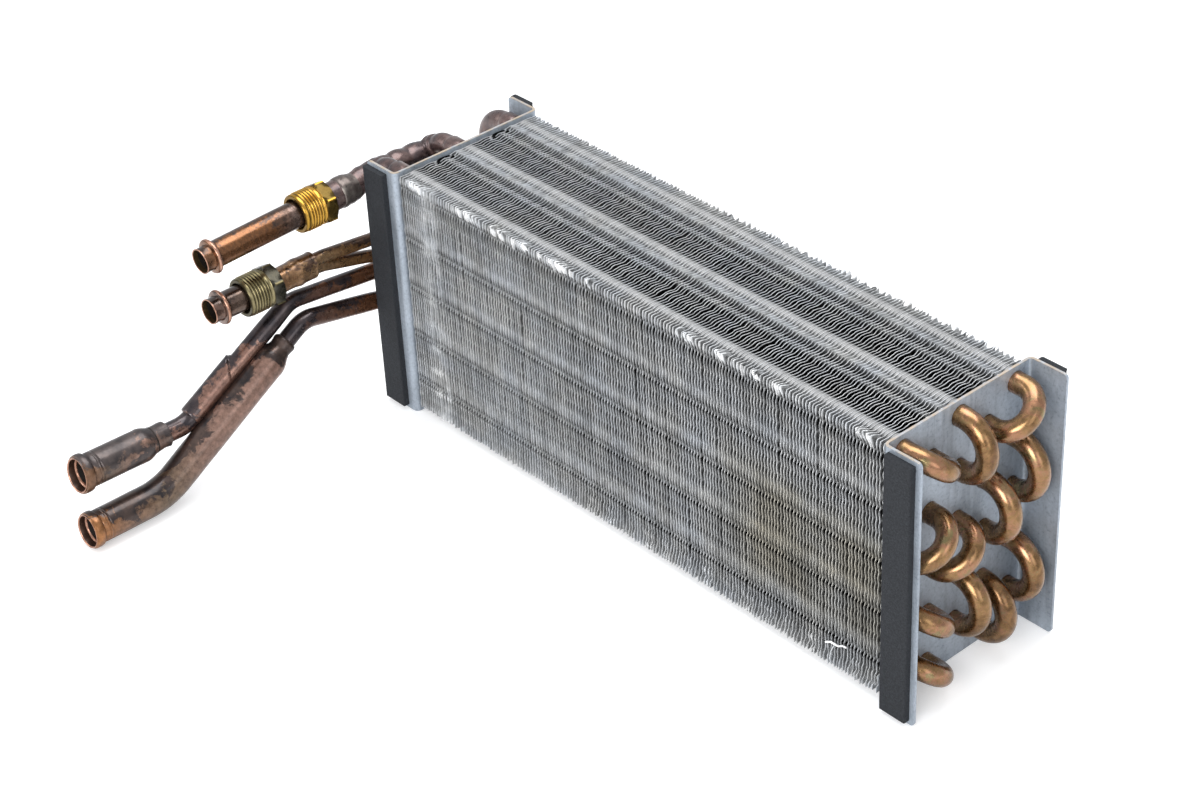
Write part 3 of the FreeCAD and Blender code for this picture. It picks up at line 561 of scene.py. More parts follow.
def patina(name, tones, dark, light, amount, scale=55, rough=(0.2, 0.4), metallic=0.8, coat=0.5):
    """Clean tones along y, under dark to light oxide in ragged patches by amount, mostly on the upper side."""
    look = Look(name, metallic)
    look.film(coat, 0.16)
    along = look.fade(look.position()[1], y_at(-172), y_at(60), kind="LINEAR")
    facing = look.node("VectorMath", operation="DOT_PRODUCT")
    look.feed(facing.inputs[0], look.node("TexCoord").outputs["Normal"])
    look.feed(facing.inputs[1], (-0.6, 0.1, 0.75))
    cloud = look.plus(look.noise(scale, 7, 0.68, distortion=0.5), look.times(facing.outputs["Value"], 0.13))
    cloud = look.plus(cloud, look.times(look.noise(scale * 9, 3), 0.14))
    cloud = look.plus(look.minus(cloud, 0.07), look.minus(look.ramp(along, *amount), 0.5))
    patches = look.ramp(cloud, (0.5, 0), (0.545, 1))
    speckle = look.noise(scale * 7, roughness=0.7)
    clean = look.tint(look.ramp(along, *tones), look.ramp(speckle, (0.32, 0.55), (0.55, 1), (0.72, 1.3)))
    look.paint(look.mix(patches, clean, look.ramp(look.noise(scale * 3), (0.35, dark), (0.65, light))))
    look.rough(look.noise(scale * 4, 3), *rough)
    look.bump(speckle, 0.12, 0.0003)
    return look.material


# Sizes of the unions. Their brass needs them too
HEX_LENGTH = 6
HEX_FLAT = 9.4
HEX_CORNER = 10.85
THREAD_R = 9.55
THREAD_DEPTH = 0.8
SUCTION_X, SUCTION_Z = -28, 111.53
LIQUID_X, LIQUID_Z = -26, 83.8
SUCTION_NUT, LIQUID_NUT = 18, 52.6

ALUMINIUM = aluminium_fins()
COLLAR = collar_aluminium()
PAINTED_HIGHLIGHT = painted_highlight_aluminium()
STEEL = galvanised()
FOAM = foam_rubber()
GOLDEN = copper(
    "hairpin_copper",
    [(0.32, (0.075, 0.036, 0.016)), (0.42, (0.18, 0.092, 0.034)), (0.5, (0.27, 0.155, 0.06)),
     (0.58, (0.36, 0.17, 0.098)), (0.66, (0.24, 0.2, 0.085)), (0.76, (0.42, 0.33, 0.2))],
    75, 0.92, (0.2, 0.36), 0.1, 0.4,
)
DARK = copper(
    "oxidised_copper",
    [(0.32, (0.035, 0.025, 0.03)), (0.46, (0.085, 0.058, 0.058)), (0.58, (0.15, 0.095, 0.085)),
     (0.7, (0.3, 0.22, 0.2))],
    75, 0.75, (0.22, 0.42), coat=0.4,
)
SOLDER = copper(
    "grey_solder_on_copper",
    [(0.32, (0.06, 0.048, 0.044)), (0.48, (0.13, 0.105, 0.095)), (0.6, (0.2, 0.175, 0.155)),
     (0.72, (0.32, 0.29, 0.26))],
    110, 0.8, (0.26, 0.45),
)
ROSE = copper(
    "bare_copper_edge",
    [(0.3, (0.3, 0.145, 0.09)), (0.55, (0.48, 0.26, 0.18)), (0.75, (0.62, 0.4, 0.32))],
    130, 0.9, (0.22, 0.38),
)
MOUTH = copper("tube_mouth_copper", [(0.3, (0.06, 0.036, 0.016)), (0.7, (0.17, 0.105, 0.048))], 120, 0.8, (0.3, 0.45))
WALL = copper("bore_mouth_copper", [(0.3, (0.04, 0.022, 0.016)), (0.7, (0.11, 0.06, 0.042))], 120, 0.8, (0.3, 0.45))
# Near black: painted shade for the deep bores
BORE_SHADE = copper(
    "bore_painted_shade", [(0.3, (0.006, 0.004, 0.003)), (0.7, (0.022, 0.014, 0.009))], 90, 0.4, (0.5, 0.7), coat=0,
)
BROWN = patina(
    "feed_copper",
    [(0.3, (0.27, 0.145, 0.07)), (0.5, (0.31, 0.155, 0.07)), (0.62, (0.31, 0.19, 0.095)),
     (0.72, (0.36, 0.18, 0.07)), (0.9, (0.14, 0.075, 0.05))],
    (0.05, 0.031, 0.023), (0.14, 0.075, 0.045),
    [(0.5, 0.46), (0.62, 0.49), (0.8, 0.53)], 75,
)
PIPE = patina(
    "water_pipe_copper",
    [(0.08, (0.2, 0.12, 0.085)), (0.22, (0.25, 0.135, 0.1)), (0.45, (0.25, 0.135, 0.1)),
     (0.54, (0.1, 0.058, 0.05)), (0.6, (0.13, 0.066, 0.046)), (0.7, (0.22, 0.095, 0.046))],
    (0.024, 0.019, 0.023), (0.07, 0.05, 0.05),
    [(0.05, 0.55), (0.25, 0.51), (0.42, 0.51), (0.52, 0.64), (0.62, 0.57), (0.72, 0.44)],
)
HOSE_UPPER = patina(
    "upper_hose_copper",
    [(0.02, (0.19, 0.095, 0.05)), (0.05, (0.17, 0.09, 0.05)), (0.08, (0.12, 0.088, 0.07)),
     (0.17, (0.26, 0.155, 0.115)), (0.24, (0.13, 0.095, 0.08))],
    (0.046, 0.038, 0.038), (0.105, 0.082, 0.076),
    [(0, 0.42), (0.05, 0.46), (0.09, 0.63), (0.16, 0.55), (0.21, 0.62)], rough=(0.34, 0.55), coat=0.3,
)
HOSE_LOWER = patina(
    "lower_hose_copper",
    [(0.01, (0.3, 0.125, 0.04)), (0.04, (0.26, 0.115, 0.045)), (0.08, (0.21, 0.115, 0.07)),
     (0.18, (0.14, 0.095, 0.062)), (0.28, (0.21, 0.125, 0.095)), (0.44, (0.25, 0.145, 0.11))],
    (0.024, 0.019, 0.02), (0.08, 0.052, 0.042),
    [(0, 0.38), (0.06, 0.44), (0.16, 0.5), (0.3, 0.5), (0.45, 0.5), (0.5, 0.58)], rough=(0.28, 0.48), coat=0.4,
)
WARM = patina(
    "warm_copper",
    [(0.36, (0.19, 0.088, 0.042)), (0.42, (0.21, 0.088, 0.034)), (0.52, (0.2, 0.083, 0.032)),
     (0.57, (0.16, 0.105, 0.085))],
    (0.045, 0.028, 0.022), (0.11, 0.058, 0.036),
    [(0.36, 0.4), (0.5, 0.41), (0.58, 0.5)], 90, (0.2, 0.34), 0.92, 0.4,
)
LIQUID = patina(
    "tarnished_tube_copper",
    [(0.36, (0.17, 0.095, 0.07)), (0.42, (0.15, 0.098, 0.072))],
    (0.045, 0.03, 0.024), (0.1, 0.062, 0.046),
    [(0.36, 0.47), (0.44, 0.52)], 90, (0.16, 0.3), 0.88,
)
GOLD = brass(
    "bright_brass", [(0.3, (0.46, 0.25, 0.036)), (0.6, (0.62, 0.355, 0.062)), (0.78, (0.31, 0.18, 0.038))],
    [(0.3, (0.016, 0.014, 0.005)), (0.7, (0.044, 0.037, 0.013))], SUCTION_X, SUCTION_Z, SUCTION_NUT, (0.16, 0.32),
)
OLIVE = brass(
    "tarnished_brass", [(0.3, (0.12, 0.1, 0.05)), (0.52, (0.22, 0.185, 0.095)), (0.7, (0.33, 0.28, 0.155))],
    [(0.3, (0.018, 0.018, 0.017)), (0.7, (0.05, 0.05, 0.046))], LIQUID_X, LIQUID_Z, LIQUID_NUT, (0.2, 0.36),
)

# Fin pack: 165 waved sheets, bent and pressed as in the photograph
FIN_T = 0.2
FIN_FIRST = (fin_low.x - ORIGIN.x) * 1000 + FIN_T / 2
FIN_COUNT = round(((fin_high.x - fin_low.x) * 1000 - FIN_T) / FIN_PITCH) + 1
FIN_GROUPS = 3
WAVE_Y = COLUMN / 2
WAVE_Z = ROW / 4
FIN_JITTER = 0.09
HEM_SHARE = 0.45  # of the folded fins get a painted highlight on their hems

# Places where fins are parted: x, push in mm, z range
PARTED = [
    (43, 0.4, 88, 115), (74, 0.3, 78, 92), (82, 0.4, 78, 92), (141, 0.4, 103, 118), (157, 0.35, 70, 96),
    (160.5, 0.35, 28, 60), (186.5, 0.4, 15, 40), (195.5, 0.4, 50, 82), (205, 0.4, 70, 90), (222, 0.4, 10, 40),
    (241, 0.4, 84, 118), (262, 0.3, 95, 118), (67, 0.4, 28, 42), (81, 0.4, 50, 65), (197, 0.3, 104, 120),
]
# Parted fins that show along the top: x, push in mm, y range
PARTED_TOP = [
    (129, 0.4, 16, 30), (131, 0.35, 48, 60), (159, 0.4, 14, 26), (181, 0.35, 18, 30), (199.5, 0.4, 15, 26),
    (212, 0.35, 48, 60), (218, 0.35, 15, 24), (238, 0.35, 20, 33), (262, 0.35, 48, 58), (286, 0.35, 14, 28),
]
# Stretches where the top front corners are folded over
FOLDED = [
    (8, 22), (40, 44), (49, 60), (66, 69), (72, 75), (78, 90), (97, 118), (129, 132), (183, 186), (188, 198),
    (206, 212), (215, 222), (228, 230), (238, 244), (284, 294),
]


def triangle(t):
    """A wave of amplitude 1 and period 1, with its crest at 0."""
    return 1 - 4 * np.abs(t - np.floor(t + 0.5))


def soft_noise(a, b, seed):
    """Smooth values between about -1 and 1 for arrays of coordinates."""
    r = np.random.default_rng(seed)
    total = 0
    for k in range(5):
        f = r.uniform(0.6, 1.8, 2) * (1 + 0.5 * k)
        p = r.uniform(0, PHASES, 2)
        total = total + np.sin(a * f[0] + p[0] + 1.3 * np.sin(b * f[1] + p[1])) / 2.4
    return total


def folded(x):
    return any(a <= x <= b for a, b in FOLDED)


def fin_shift(x, y, z, jitter):
    """How far a point of the fin at x stands off the fin's plane, in mm."""
    front = smooth((y - FIN_Y[0]) / 3)
    back = smooth((FIN_Y[1] - y) / 3)
    near_top = smooth((z - 110) / 12)
    # Ribs over the fin, flat round the top tubes, and a finer wave on its free edges
    flat = sum(np.exp(-(((y - tube(c, 0)[0]) / 4.2) ** 2)) for c in (0, 2, 4))
    ribs = 0.55 * triangle((y - 14.5) / WAVE_Y) * front * back * (1 - 0.8 * flat * near_top)
    row = (z - tube(0, 0)[1]) / ROW
    beat = 0.3 + 0.22 * np.exp(-(((row - np.round(row)) * ROW / 3) ** 2))
    edge = beat * triangle((z - tube(0, 0)[1]) / WAVE_Z) * ((1 - front) + (1 - back))
    shift = ribs + edge + jitter + 0.1 * soft_noise(z / 16, x / 3.1, 3)
    # The bent foot
    low = smooth((17 - z) / 7) * (1 - smooth((y - 8) / 8)) * (0.3 + 0.7 * smooth((x - 90) / 60))
    shift = shift + low * (0.45 * soft_noise(z / 3.2, x / 1.2, 5) - 0.16 * (17 - z) * (0.6 + 0.4 * sin(x / 9)))
    for places, along, share, reach in ((PARTED, z, 1 - smooth((y - 8) / 12), 3.5), (PARTED_TOP, y, near_top, 2.5)):
        for centre, push, low, high in places:
            zone = share * smooth((along - low) / 4 + 0.5) * smooth((high - along) / 4 + 0.5)
            shift = shift + push * np.sign(x - centre) * np.exp(-abs(x - centre) / reach) * zone
    shift = shift + 0.16 * near_top * soft_noise(y / 2.2, x / 0.9, 17) * (1 - 0.7 * flat)
    # The pressed column near the left plate, the folded corners and the ragged back of the top
    lean = 1.6 * exp(-(((x - 19) / 5.5) ** 2)) * (0.75 + 0.25 * np.sin(z / 2.1))
    shift = shift - lean * (1 - smooth((y - FIN_Y[0]) / 5))
    if folded(x):
        lean = 1.7 + 1.1 * sin(x * 7.3)
        shift = shift - lean * smooth((z - 122.6) / 4.4) * (1 - smooth((y - 3) / 3.4))
    rag = smooth((y - 77.5) / 4.5) * near_top * (0.4 + 0.6 * smooth((x - 90) / 60))
    return shift + rag * 1.1 * soft_noise(x / 1.3, z / 3, 9)


def fin_rise(x, y, z):
    """How far the fin's own edge stands off its height, in mm: ragged feet and back corners."""
    foot = smooth((6 - z) / 4) * (0.6 + 0.5 * soft_noise(np.array(x / 2.3), y / 9, 11))
    back = smooth((z - 122) / 5) * smooth((y - 79) / 3) * (0.3 + 0.7 * smooth(np.array((x - 90) / 60)))
    return foot * 0.9 + back * (0.9 * soft_noise(np.array(x / 1.1), y / 5, 13) - 0.3)


def fin_pack():
    """Closed sheets: two edge rings joined over the thickness, and two inner rings that close the face."""
    top, back, bottom, front = 84, 64, 40, 126  # points on each edge
    rings = []
    for inset in (0, 1.7, 4.6):
        y0, y1 = FIN_Y[0] + inset, FIN_Y[1] - inset
        z0, z1 = FIN_Z[0] + inset, FIN_Z[1] - inset
        ends = np.array([(y0, z1), (y1, z1), (y1, z0), (y0, z0)])
        edges = zip(ends, np.roll(ends, -1, 0), (top, back, bottom, front))
        rings.append(np.concatenate([a + (b - a) * (np.arange(n) / n)[:, None] for a, b, n in edges]))
    n = len(rings[0])
    this, following = np.arange(n), np.roll(np.arange(n), -1)
    quads = np.concatenate([
        np.stack([k * n + this, k * n + following, (k + 1) * n + following, (k + 1) * n + this], 1) for k in range(3)
    ])
    corners = [3 * n + c for c in (0, top, top + back, top + back + bottom)]
    share = ceil(FIN_COUNT / FIN_GROUPS)
    for group in range(FIN_GROUPS):
        verts, faces, bright = [], [], []
        for i in range(group * share, min(FIN_COUNT, (group + 1) * share)):
            x = FIN_FIRST + i * FIN_PITCH
            jitter = rng.normal(0, FIN_JITTER)
            base = len(verts) * 4 * n
            layers = []
            for ring, side, bent in ((0, -0.5, 1), (0, 0.5, 1), (1, 0.5, 1), (2, 0.5, 0)):
                y, z = rings[ring].T
                dx = fin_shift(x, y, z, jitter) * bent + side * FIN_T
                layers.append(np.stack([x + dx, y, z + fin_rise(x, y, z) * bent], 1))
            layers = np.concatenate(layers)
            verts.append(layers)
            faces.extend((quads + base).tolist())
            faces.append(tuple(base + c for c in corners))
            y, z = layers[quads].mean(1)[:, 1:].T
            # Some folded hems at the top front corner take the brighter aluminium: a painted highlight
            gets_hem_highlight = folded(x) and rng.random() < HEM_SHARE
            bright.append((z > 123.4 + 1.5 * sin(x * 5.1)) & (y < FIN_Y[0] + 0.9) & gets_hem_highlight)
            bright.append([False])
        points = np.concatenate(verts)
        points[:, 0] = np.clip(points[:, 0], GAUGE + 0.05, LENGTH - GAUGE - 0.05)
        points[:, 2] = np.minimum(points[:, 2], HEIGHT - 0.4)
        add_piece(
            f"fin_pack_{group + 1}", points, faces, ALUMINIUM, "fin_aluminium", ["fins"] if group == 0 else [], False,
            [PAINTED_HIGHLIGHT], np.concatenate(bright).astype(np.int32),
        )


def collars():
    """Fin collars on every tube between the plates, with the slots between them on the tubes that show."""
    start = GAUGE + 0.3
    hidden = (0, 3)  # a place without a tube
    parts = []
    for column in range(5):
        for row in range(5):
            if (column, row) == hidden:
                continue
            y, z = tube(column, row)
            path = Path([(start, y, z), (LENGTH - start, y, z)])
            if row < 4 or column % 2:
                parts.append(sweep(path, runs(0, path.length, 400, TUBE_R + 0.2), 16))
                continue
            steps = []
            for i in range(FIN_COUNT):
                s = FIN_FIRST + i * FIN_PITCH - start
                collar = profile(s, TUBE_R, (0.1, 0.66), (0.6, 0.54), (1.45, 0.5), (1.6, 0.25))
                steps += [(min(s, path.length), r) for s, r in collar]
            parts.append(sweep(path, steps, 20))
    add_piece("fin_collars", *merge(*parts), COLLAR, "fin_aluminium")


fin_pack()
collars()

# Sheet and foam keep their CAD shapes
for name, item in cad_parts.items():
    for kind, material in (("end_plate", STEEL), ("foam", FOAM)):
        if name.startswith(kind):
            item.data.materials.clear()
            item.data.materials.append(material)

# The back flanges' foam reaches the top edge and is cut a little unevenly
for side in ("left", "right"):
    low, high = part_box(f"foam_{side}_back")
    x0, x1 = (low.x - ORIGIN.x) * 1000, (high.x - ORIGIN.x) * 1000
    near, far = DEPTH + 0.02, DEPTH + FOAM_T - 0.02
    verts = []
    for z in np.linspace(1.2, HEIGHT - 0.3, 90):
        ragged = 0.35 * sin(z * 0.9) * sin(z * 0.37 + 1) + 0.15 * sin(z * 3.1)
        a, b = x0 + 0.4 + ragged * 0.5, x1 - 0.4 + ragged
        verts += [(a, near, z), (b, near, z), (b, DEPTH + FOAM_T - 0.5, z), (b - 0.5, far, z)]
        verts += [(a + 0.5, far, z), (a, DEPTH + FOAM_T - 0.5, z)]
    faces = ring_faces(90, 6) + [tuple(range(5, -1, -1)), tuple(range(len(verts) - 6, len(verts)))]
    add_piece(f"foam_strip_{side}_back", verts, faces, FOAM, "sealing_foam", [f"foam_{side}_back"], smooth=False)

# Copper tubes of the block: the two tube places of each U
HAIRPINS = [
    ((0, 4), (1, 4)), ((2, 4), (2, 3)), ((4, 4), (3, 4)), ((4, 3), (4, 2)), ((3, 3), (3, 2)), ((1, 3), (0, 2)),
    ((2, 2), (1, 2)), ((4, 1), (4, 0)), ((2, 1), (2, 0)), ((3, 1), (3, 0)), ((0, 1), (1, 1)), ((0, 0), (1, 0)),
]
RETURN_BENDS = [
    ((1, 4), (1, 3)), ((2, 3), (3, 4)), ((4, 4), (4, 3)), ((4, 2), (4, 1)), ((4, 0), (3, 0)),
    ((3, 1), (3, 2)), ((2, 2), (2, 1)), ((2, 0), (1, 0)), ((0, 0), (1, 1)),
]
CUP = [
    (SOCKET, TUBE_R + 0.05), (0, TUBE_R + 0.05), (0, SOCKET_R - 0.15), (0.4, SOCKET_R), (SOCKET - 0.4, SOCKET_R),
    (SOCKET + 0.5, TUBE_R + 0.15),
]


def spacing_of(pair):
    return hypot(*np.subtract(tube(*pair[0]), tube(*pair[1])))


def u_path(pair, x_end, x_crown):
    """A U from one tube place to the other, its crown at x_crown."""
    corner = x_crown - copysign(TUBE_R, x_crown - x_end)
    a, b = tube(*pair[0]), tube(*pair[1])
    points = [(x_end, *a), (corner, *a), (corner, *b), (x_end, *b)]
    return Path(points, [spacing_of(pair) / 2 * 0.999] * 2)


for number, pair in enumerate(HAIRPINS, start=1):
    path = u_path(pair, -STICKOUT, LENGTH + BEND_REACH)
    total, straight = path.length, path.at[1]
    steps = [(0, TUBE_R - TUBE_WALL)] + runs(0, straight, 60, TUBE_R)
    steps += runs(straight, total - straight, 1, TUBE_R)[1:] + runs(total - straight, total, 60, TUBE_R)[1:]
    steps += [(total, TUBE_R - TUBE_WALL)]
    add_sweep(
        f"hairpin_tube_{number:02d}", path, steps, 36, dips(number, 0.05), GOLDEN, [f"hairpin_{number:02d}"],
        "hairpin_copper",
    )

for number, pair in enumerate(RETURN_BENDS, start=1):
    path = u_path(pair, -STICKOUT + SOCKET, -STICKOUT - 1.4 - spacing_of(pair) / 2 - TUBE_R)
    total = path.length
    steps = CUP + runs(SOCKET + 1, total - SOCKET - 1, 1, TUBE_R) + [(total - s, r) for s, r in CUP[::-1]]
    uneven = wobble(40 + number, 0.06)
    add_sweep(f"return_bend_tube_{number}", path, steps, 36, uneven, DARK, [f"return_bend_{number:02d}"])

# Brass unions and the beaded copper tubes that they hold
SUCTION_TIP, LIQUID_TIP = 88, 88.4
SUCTION_FRONT, LIQUID_FRONT = 35.6, 71.2
SUCTION_SAG = 1.9
PILOT_R = 6.3
NECK_R = 8.6
CHAMFER = 0.9
THREAD_START = 8.4
THREAD_PITCH = 1.5


def hexagon(angle, s, r):
    flat = HEX_FLAT / cos((angle % (pi / 3)) - pi / 6)
    return min(r, flat) if s <= HEX_LENGTH else r


def union(name, x, z, back, front, material, slot):
    """A nut: its hexagon, neck, grooved thread and bored front."""
    path = Path([(x, -back, z), (x, -front, z)])
    end = path.length
    steps = [(0.3, 5.8), (0, NECK_R), (0, HEX_FLAT), (CHAMFER, HEX_CORNER), (HEX_LENGTH - CHAMFER, HEX_CORNER)]
    steps += [(HEX_LENGTH, HEX_FLAT), (HEX_LENGTH, NECK_R + 0.4), (HEX_LENGTH + 0.5, NECK_R)]
    steps += [(THREAD_START - 0.7, NECK_R), (THREAD_START - 0.1, THREAD_R - 0.1)]
    thread = end - 2.3 - THREAD_START
    count = round(thread / THREAD_PITCH * 10)
    for k in range(count + 1):
        s = thread * k / count
        groove = (0.5 - 0.5 * cos(2 * pi * s / THREAD_PITCH)) ** 0.8
        steps.append((THREAD_START + s, THREAD_R - THREAD_DEPTH * groove))
    steps += profile(end, 0, (-1.9, 8.7), (-1.5, 9.3), (-0.5, 9.2), (0, 8.7), (0, 7.5), (-0.8, 7), (-5, 6.8))
    steps += [(end - 5, PILOT_R - 0.2)]
    add_sweep(name, path, steps, 96, None, material, slot=slot, shape=hexagon)


def beaded_tube(name, points, material, slot, seed):
    """The tube with its ring bead, lip, and a bore at the front end painted near black as shade."""
    path = Path(points, [60] * (len(points) - 2))
    end = path.length
    middle = end - 6
    steps = profile(0, PILOT_R, (0, -0.8), (15, -0.8)) + runs(16, middle - 2.4, 2, PILOT_R)
    steps += profile(middle, PILOT_R, (-1.9, 0.08), (-1.4, 0.5))
    ring = len(steps)
    steps += bead(middle, 1.15, PILOT_R + 0.75, 1.25, 0.8)
    steps += profile(middle, PILOT_R, (1.3, -0.2), (2.2, -0.35)) + profile(end, PILOT_R, (-1, -0.4), (-0.35, -0.2))
    lip = len(steps) - 1
    steps += profile(end, PILOT_R, (-0.05, -0.3), (0, -0.5), (-0.2, -0.8))
    mouth = len(steps) - 1
    steps += profile(end, PILOT_R, (-2.6, -0.95), (-3.2, -1), (-30, -1))
    marks = ((ring + 1, ring + 6, 1), (lip, mouth, 1), (mouth, mouth + 1, 2), (mouth + 1, len(steps), 3))
    add_sweep(
        name, path, steps, 64, wobble(seed, 0.05, 9), material, slot=slot, others=[ROSE, MOUTH, BORE_SHADE],
        chosen=painted(steps, 64, *marks),
    )


union("suction_union_turned", SUCTION_X, SUCTION_Z, SUCTION_NUT, SUCTION_FRONT, GOLD, "bright_brass")
union("liquid_union_turned", LIQUID_X, LIQUID_Z, LIQUID_NUT, LIQUID_FRONT, OLIVE, "tarnished_brass")
beaded_tube(
    "suction_tube_drawn",
    [(SUCTION_X, -5, SUCTION_Z), (SUCTION_X, -40, SUCTION_Z), (SUCTION_X, -SUCTION_TIP, SUCTION_Z - SUCTION_SAG)],
    WARM, "warm_copper", 61,
)
beaded_tube(
    "liquid_tube_drawn",
    [(LIQUID_X, -42.7, LIQUID_Z), (LIQUID_X, -62, LIQUID_Z + 0.3), (LIQUID_X, -LIQUID_TIP, LIQUID_Z + 0.65)],
    LIQUID, "oxidised_copper", 62,
)

# Suction header with its stubs, brazed and lumpy
HEADER_Z = 114.3
HEADER_FALL = 1.7
HEADER_R = 6.5
HEADER_BACK = 49.2
header = Path(
    [(SUCTION_X, -5, SUCTION_Z + 0.8), (SUCTION_X, -2.5, SUCTION_Z + 0.9), (SUCTION_X, 7, HEADER_Z),
     (SUCTION_X, HEADER_BACK, HEADER_Z - HEADER_FALL)],
    [10, 10],
)
end = header.length
steps = [(0, 5.9)] + runs(0, end - 2.6, 0.8, HEADER_R - 0.1)
steps += profile(end, HEADER_R, (-1.7, -0.35), (-0.9, -1.1), (-0.3, -2.4)) + [(end, 0.01)]
lumps = bumps(
    (5.5, 180, -0.8, 2, 2), (8.5, 200, 0.5, 1.8, 2.2), (11, 200, -0.7, 1.6, 2.2), (15, 20, 0.45, 2.6, 1.2),
    (20, 290, 0.6, 2.6, 0.9), (24.5, 20, -0.6, 1.7, 1.6), (29, 330, 0.4, 2.6, 1.3), (34, 10, -0.45, 1.6, 1.5),
    (39, 320, 0.4, 2.6, 1.1), (45, 0, -0.35, 1.5, 1.6), (50, 340, 0.3, 2.4, 1.4),
)
add_sweep(
    "suction_header_brazed", header, steps, 56, both(lumps, wobble(71, 0.16, 4)), DARK,
    ["suction_header", "header_cap"],
)
for label, place in (("front", (0, 4)), ("back", (2, 4))):
    y, z = tube(*place)
    path = Path([(-3.5, y, z), (-17.5, y, z), (SUCTION_X, y, HEADER_Z - HEADER_FALL * (y - 7) / 42)], [8])
    end = path.length
    steps = [(0, 4.75), (0, SOCKET_R - 0.1), (0.4, SOCKET_R), (6.8, SOCKET_R), (7.6, 4.95), (8.2, TUBE_R)]
    steps += runs(8.2, end - 9.5, 0.8, TUBE_R)[1:]
    steps += profile(end, 0, (-9, 5.1), (-8.4, 5.7), (-7.6, 5.9), (-6.8, 5.6), (-6.1, 5.9), (-5.2, 6.4), (-4.3, 6.6))
    add_sweep(f"suction_stub_{label}_brazed", path, steps, 40, wobble(72, 0.12, 5), DARK)

# The sleeve behind the suction union: bare copper, then a grey lump of solder
sleeve = Path([(SUCTION_X, -SUCTION_NUT - 0.1, SUCTION_Z + 0.6), (SUCTION_X, -2, SUCTION_Z + 0.9)])
steps = [(0, 5.6)] + runs(0, 6, 0.6, 7) + [(6.6, 6.8), (7, 6.6)]
add_sweep("suction_sleeve_brazed", sleeve, steps, 48, wobble(73, 0.1, 3), DARK)
steps = [(6, 6.7), (6.2, 7), (6.8, 7.2), (7.6, 7.3)] + runs(8.2, 11.4, 0.6, 7.35)
steps += [(12.4, 7.2), (13.2, 6.9), (14.4, 6.7), (15.8, 6.5)]
lumps = bumps((8.2, 330, 0.3, 2.2, 1.1), (10.4, 120, -0.4, 2, 1.4), (11, 30, 0.2, 1.6, 0.9), (8.5, 210, 0.2, 1.6, 0.9))
add_sweep("suction_solder", sleeve, steps, 48, both(lumps, wobble(76, 0.12, 3)), SOLDER, ())

# Liquid sleeve, pinched round the two feed tubes
FEED_R = 3.175
SLEEVE_MOUTH = 31.4
LEAN = radians(23.6)
SQUEEZE = 0.82


def pinched(angle, s, r):
    """Round at the union, oval at the mouth."""
    off = angle - LEAN
    oval = 1 / sqrt(cos(off) ** 2 + (sin(off) / SQUEEZE) ** 2)
    return r * (1 + (oval - 1) * smooth((s - 9.8) / 5.5))


path = Path([(LIQUID_X, -LIQUID_NUT, LIQUID_Z), (LIQUID_X, -SLEEVE_MOUTH, LIQUID_Z + 0.3)])
end = path.length
steps = [(0, 5.6), (0, 6)] + runs(0.3, end - 12.5, 0.6, 6.1)
steps += profile(end, 0, (-11, 6.3), (-10, 6.6), (-9, 6.95), (-8, 7.15)) + runs(end - 7, end - 2.2, 0.6, 7.15)
steps += profile(end, 0, (-1.6, 7.05), (-1, 7.3), (-0.2, 7.3), (0, 7.1), (-0.2, 6.7), (-5, 6.4), (-5, 3))
add_sweep("liquid_sleeve_pinched", path, steps, 56, wobble(74, 0.09, 4), BROWN, shape=pinched)

spacing = Vector((sin(LEAN), 0, cos(LEAN))) * (FEED_R + 0.05)
mouth = Vector((LIQUID_X, -SLEEVE_MOUTH, LIQUID_Z))
inside, outside = Vector((0, -6.5, 0)), Vector((0, 6, 0))
rear_y, rear_z = tube(3, 3)
front_y, front_z = tube(0, 2)
feeds = {
    "rear": Path(
        [mouth + spacing + inside, mouth + spacing + outside, (-27, 24, rear_z - 3.7), (-27, rear_y, rear_z),
         (-9, rear_y, rear_z)],
        [20, 20, 9],
    ),
    "front": Path(
        [mouth - spacing + inside, mouth - spacing + outside, (-28.5, front_y, front_z), (-9, front_y, front_z)],
        [20, 9],
    ),
}
for label, path in feeds.items():
    steps = runs(0, path.length, 0.9, FEED_R)
    add_sweep(f"liquid_feed_{label}_drawn", path, steps, 36, wobble(75, 0.07, 9), BROWN)

# Water pipes
WATER_R = 4
SLOPE_R = 4.6
LOWER_SLOPE_R = 4.4
COUPLING_R = 5.35
HOSE_R = 7.9
LOWER_HOSE_R = 7.72
HOSE_NECK_R = 6.1
UPPER_X, LOWER_X = -28.4, -23.1
UPPER_CREST = Vector((UPPER_X, -44.3, 69.3))
UPPER_DIP = Vector((UPPER_X - 0.4, -107.4, 31.7))
UPPER_RIM = Vector((UPPER_X - 0.1, -165.7, 33))
LOWER_CREST = Vector((LOWER_X, -41.4, 60.4))
LOWER_DIP = Vector((LOWER_X + 2.9, -129, 8.75))
LOWER_RIM = Vector((LOWER_X + 2.9, -170.5, 8.75))
UPPER_SLOPE = (UPPER_DIP - UPPER_CREST).normalized()
LOWER_SLOPE = (LOWER_DIP - LOWER_CREST).normalized()
UPPER_AWAY = (UPPER_RIM - UPPER_DIP).normalized()
COUPLING_SIDE = Vector((-0.62, -0.25, 0.62))
PIPE_END = -3.5
upper_y, upper_z = tube(1, 2)
lower_y, lower_z = tube(0, 1)


def hose_rim(end, r, swell):
    """Steps of the pressed rings, the rolled bead, the rim and the step of the bore behind it."""
    steps = profile(
        end, r, (-10.2, 0), (-9.9, -0.25), (-9.6, 0), (-8.8, 0), (-8.5, -0.25), (-8.2, 0), (-6.4, -0.02), (-5.8, -0.35),
        (-5.2, -0.15))
    steps += bead(end - 2.8, 2.1, r + 0.25, swell - 0.25, 0.5)
    return steps + profile(
        end, r, (-0.5, 0.2), (-0.1, 0.1), (0, -0.1), (-0.2, -0.45), (-0.5, -0.6), (-3.5, -0.8), (-3.8, -1.3),
        (-3.6, -1.6), (-4.1, -1.9), (-20, -1.6), (-40, -1.6))


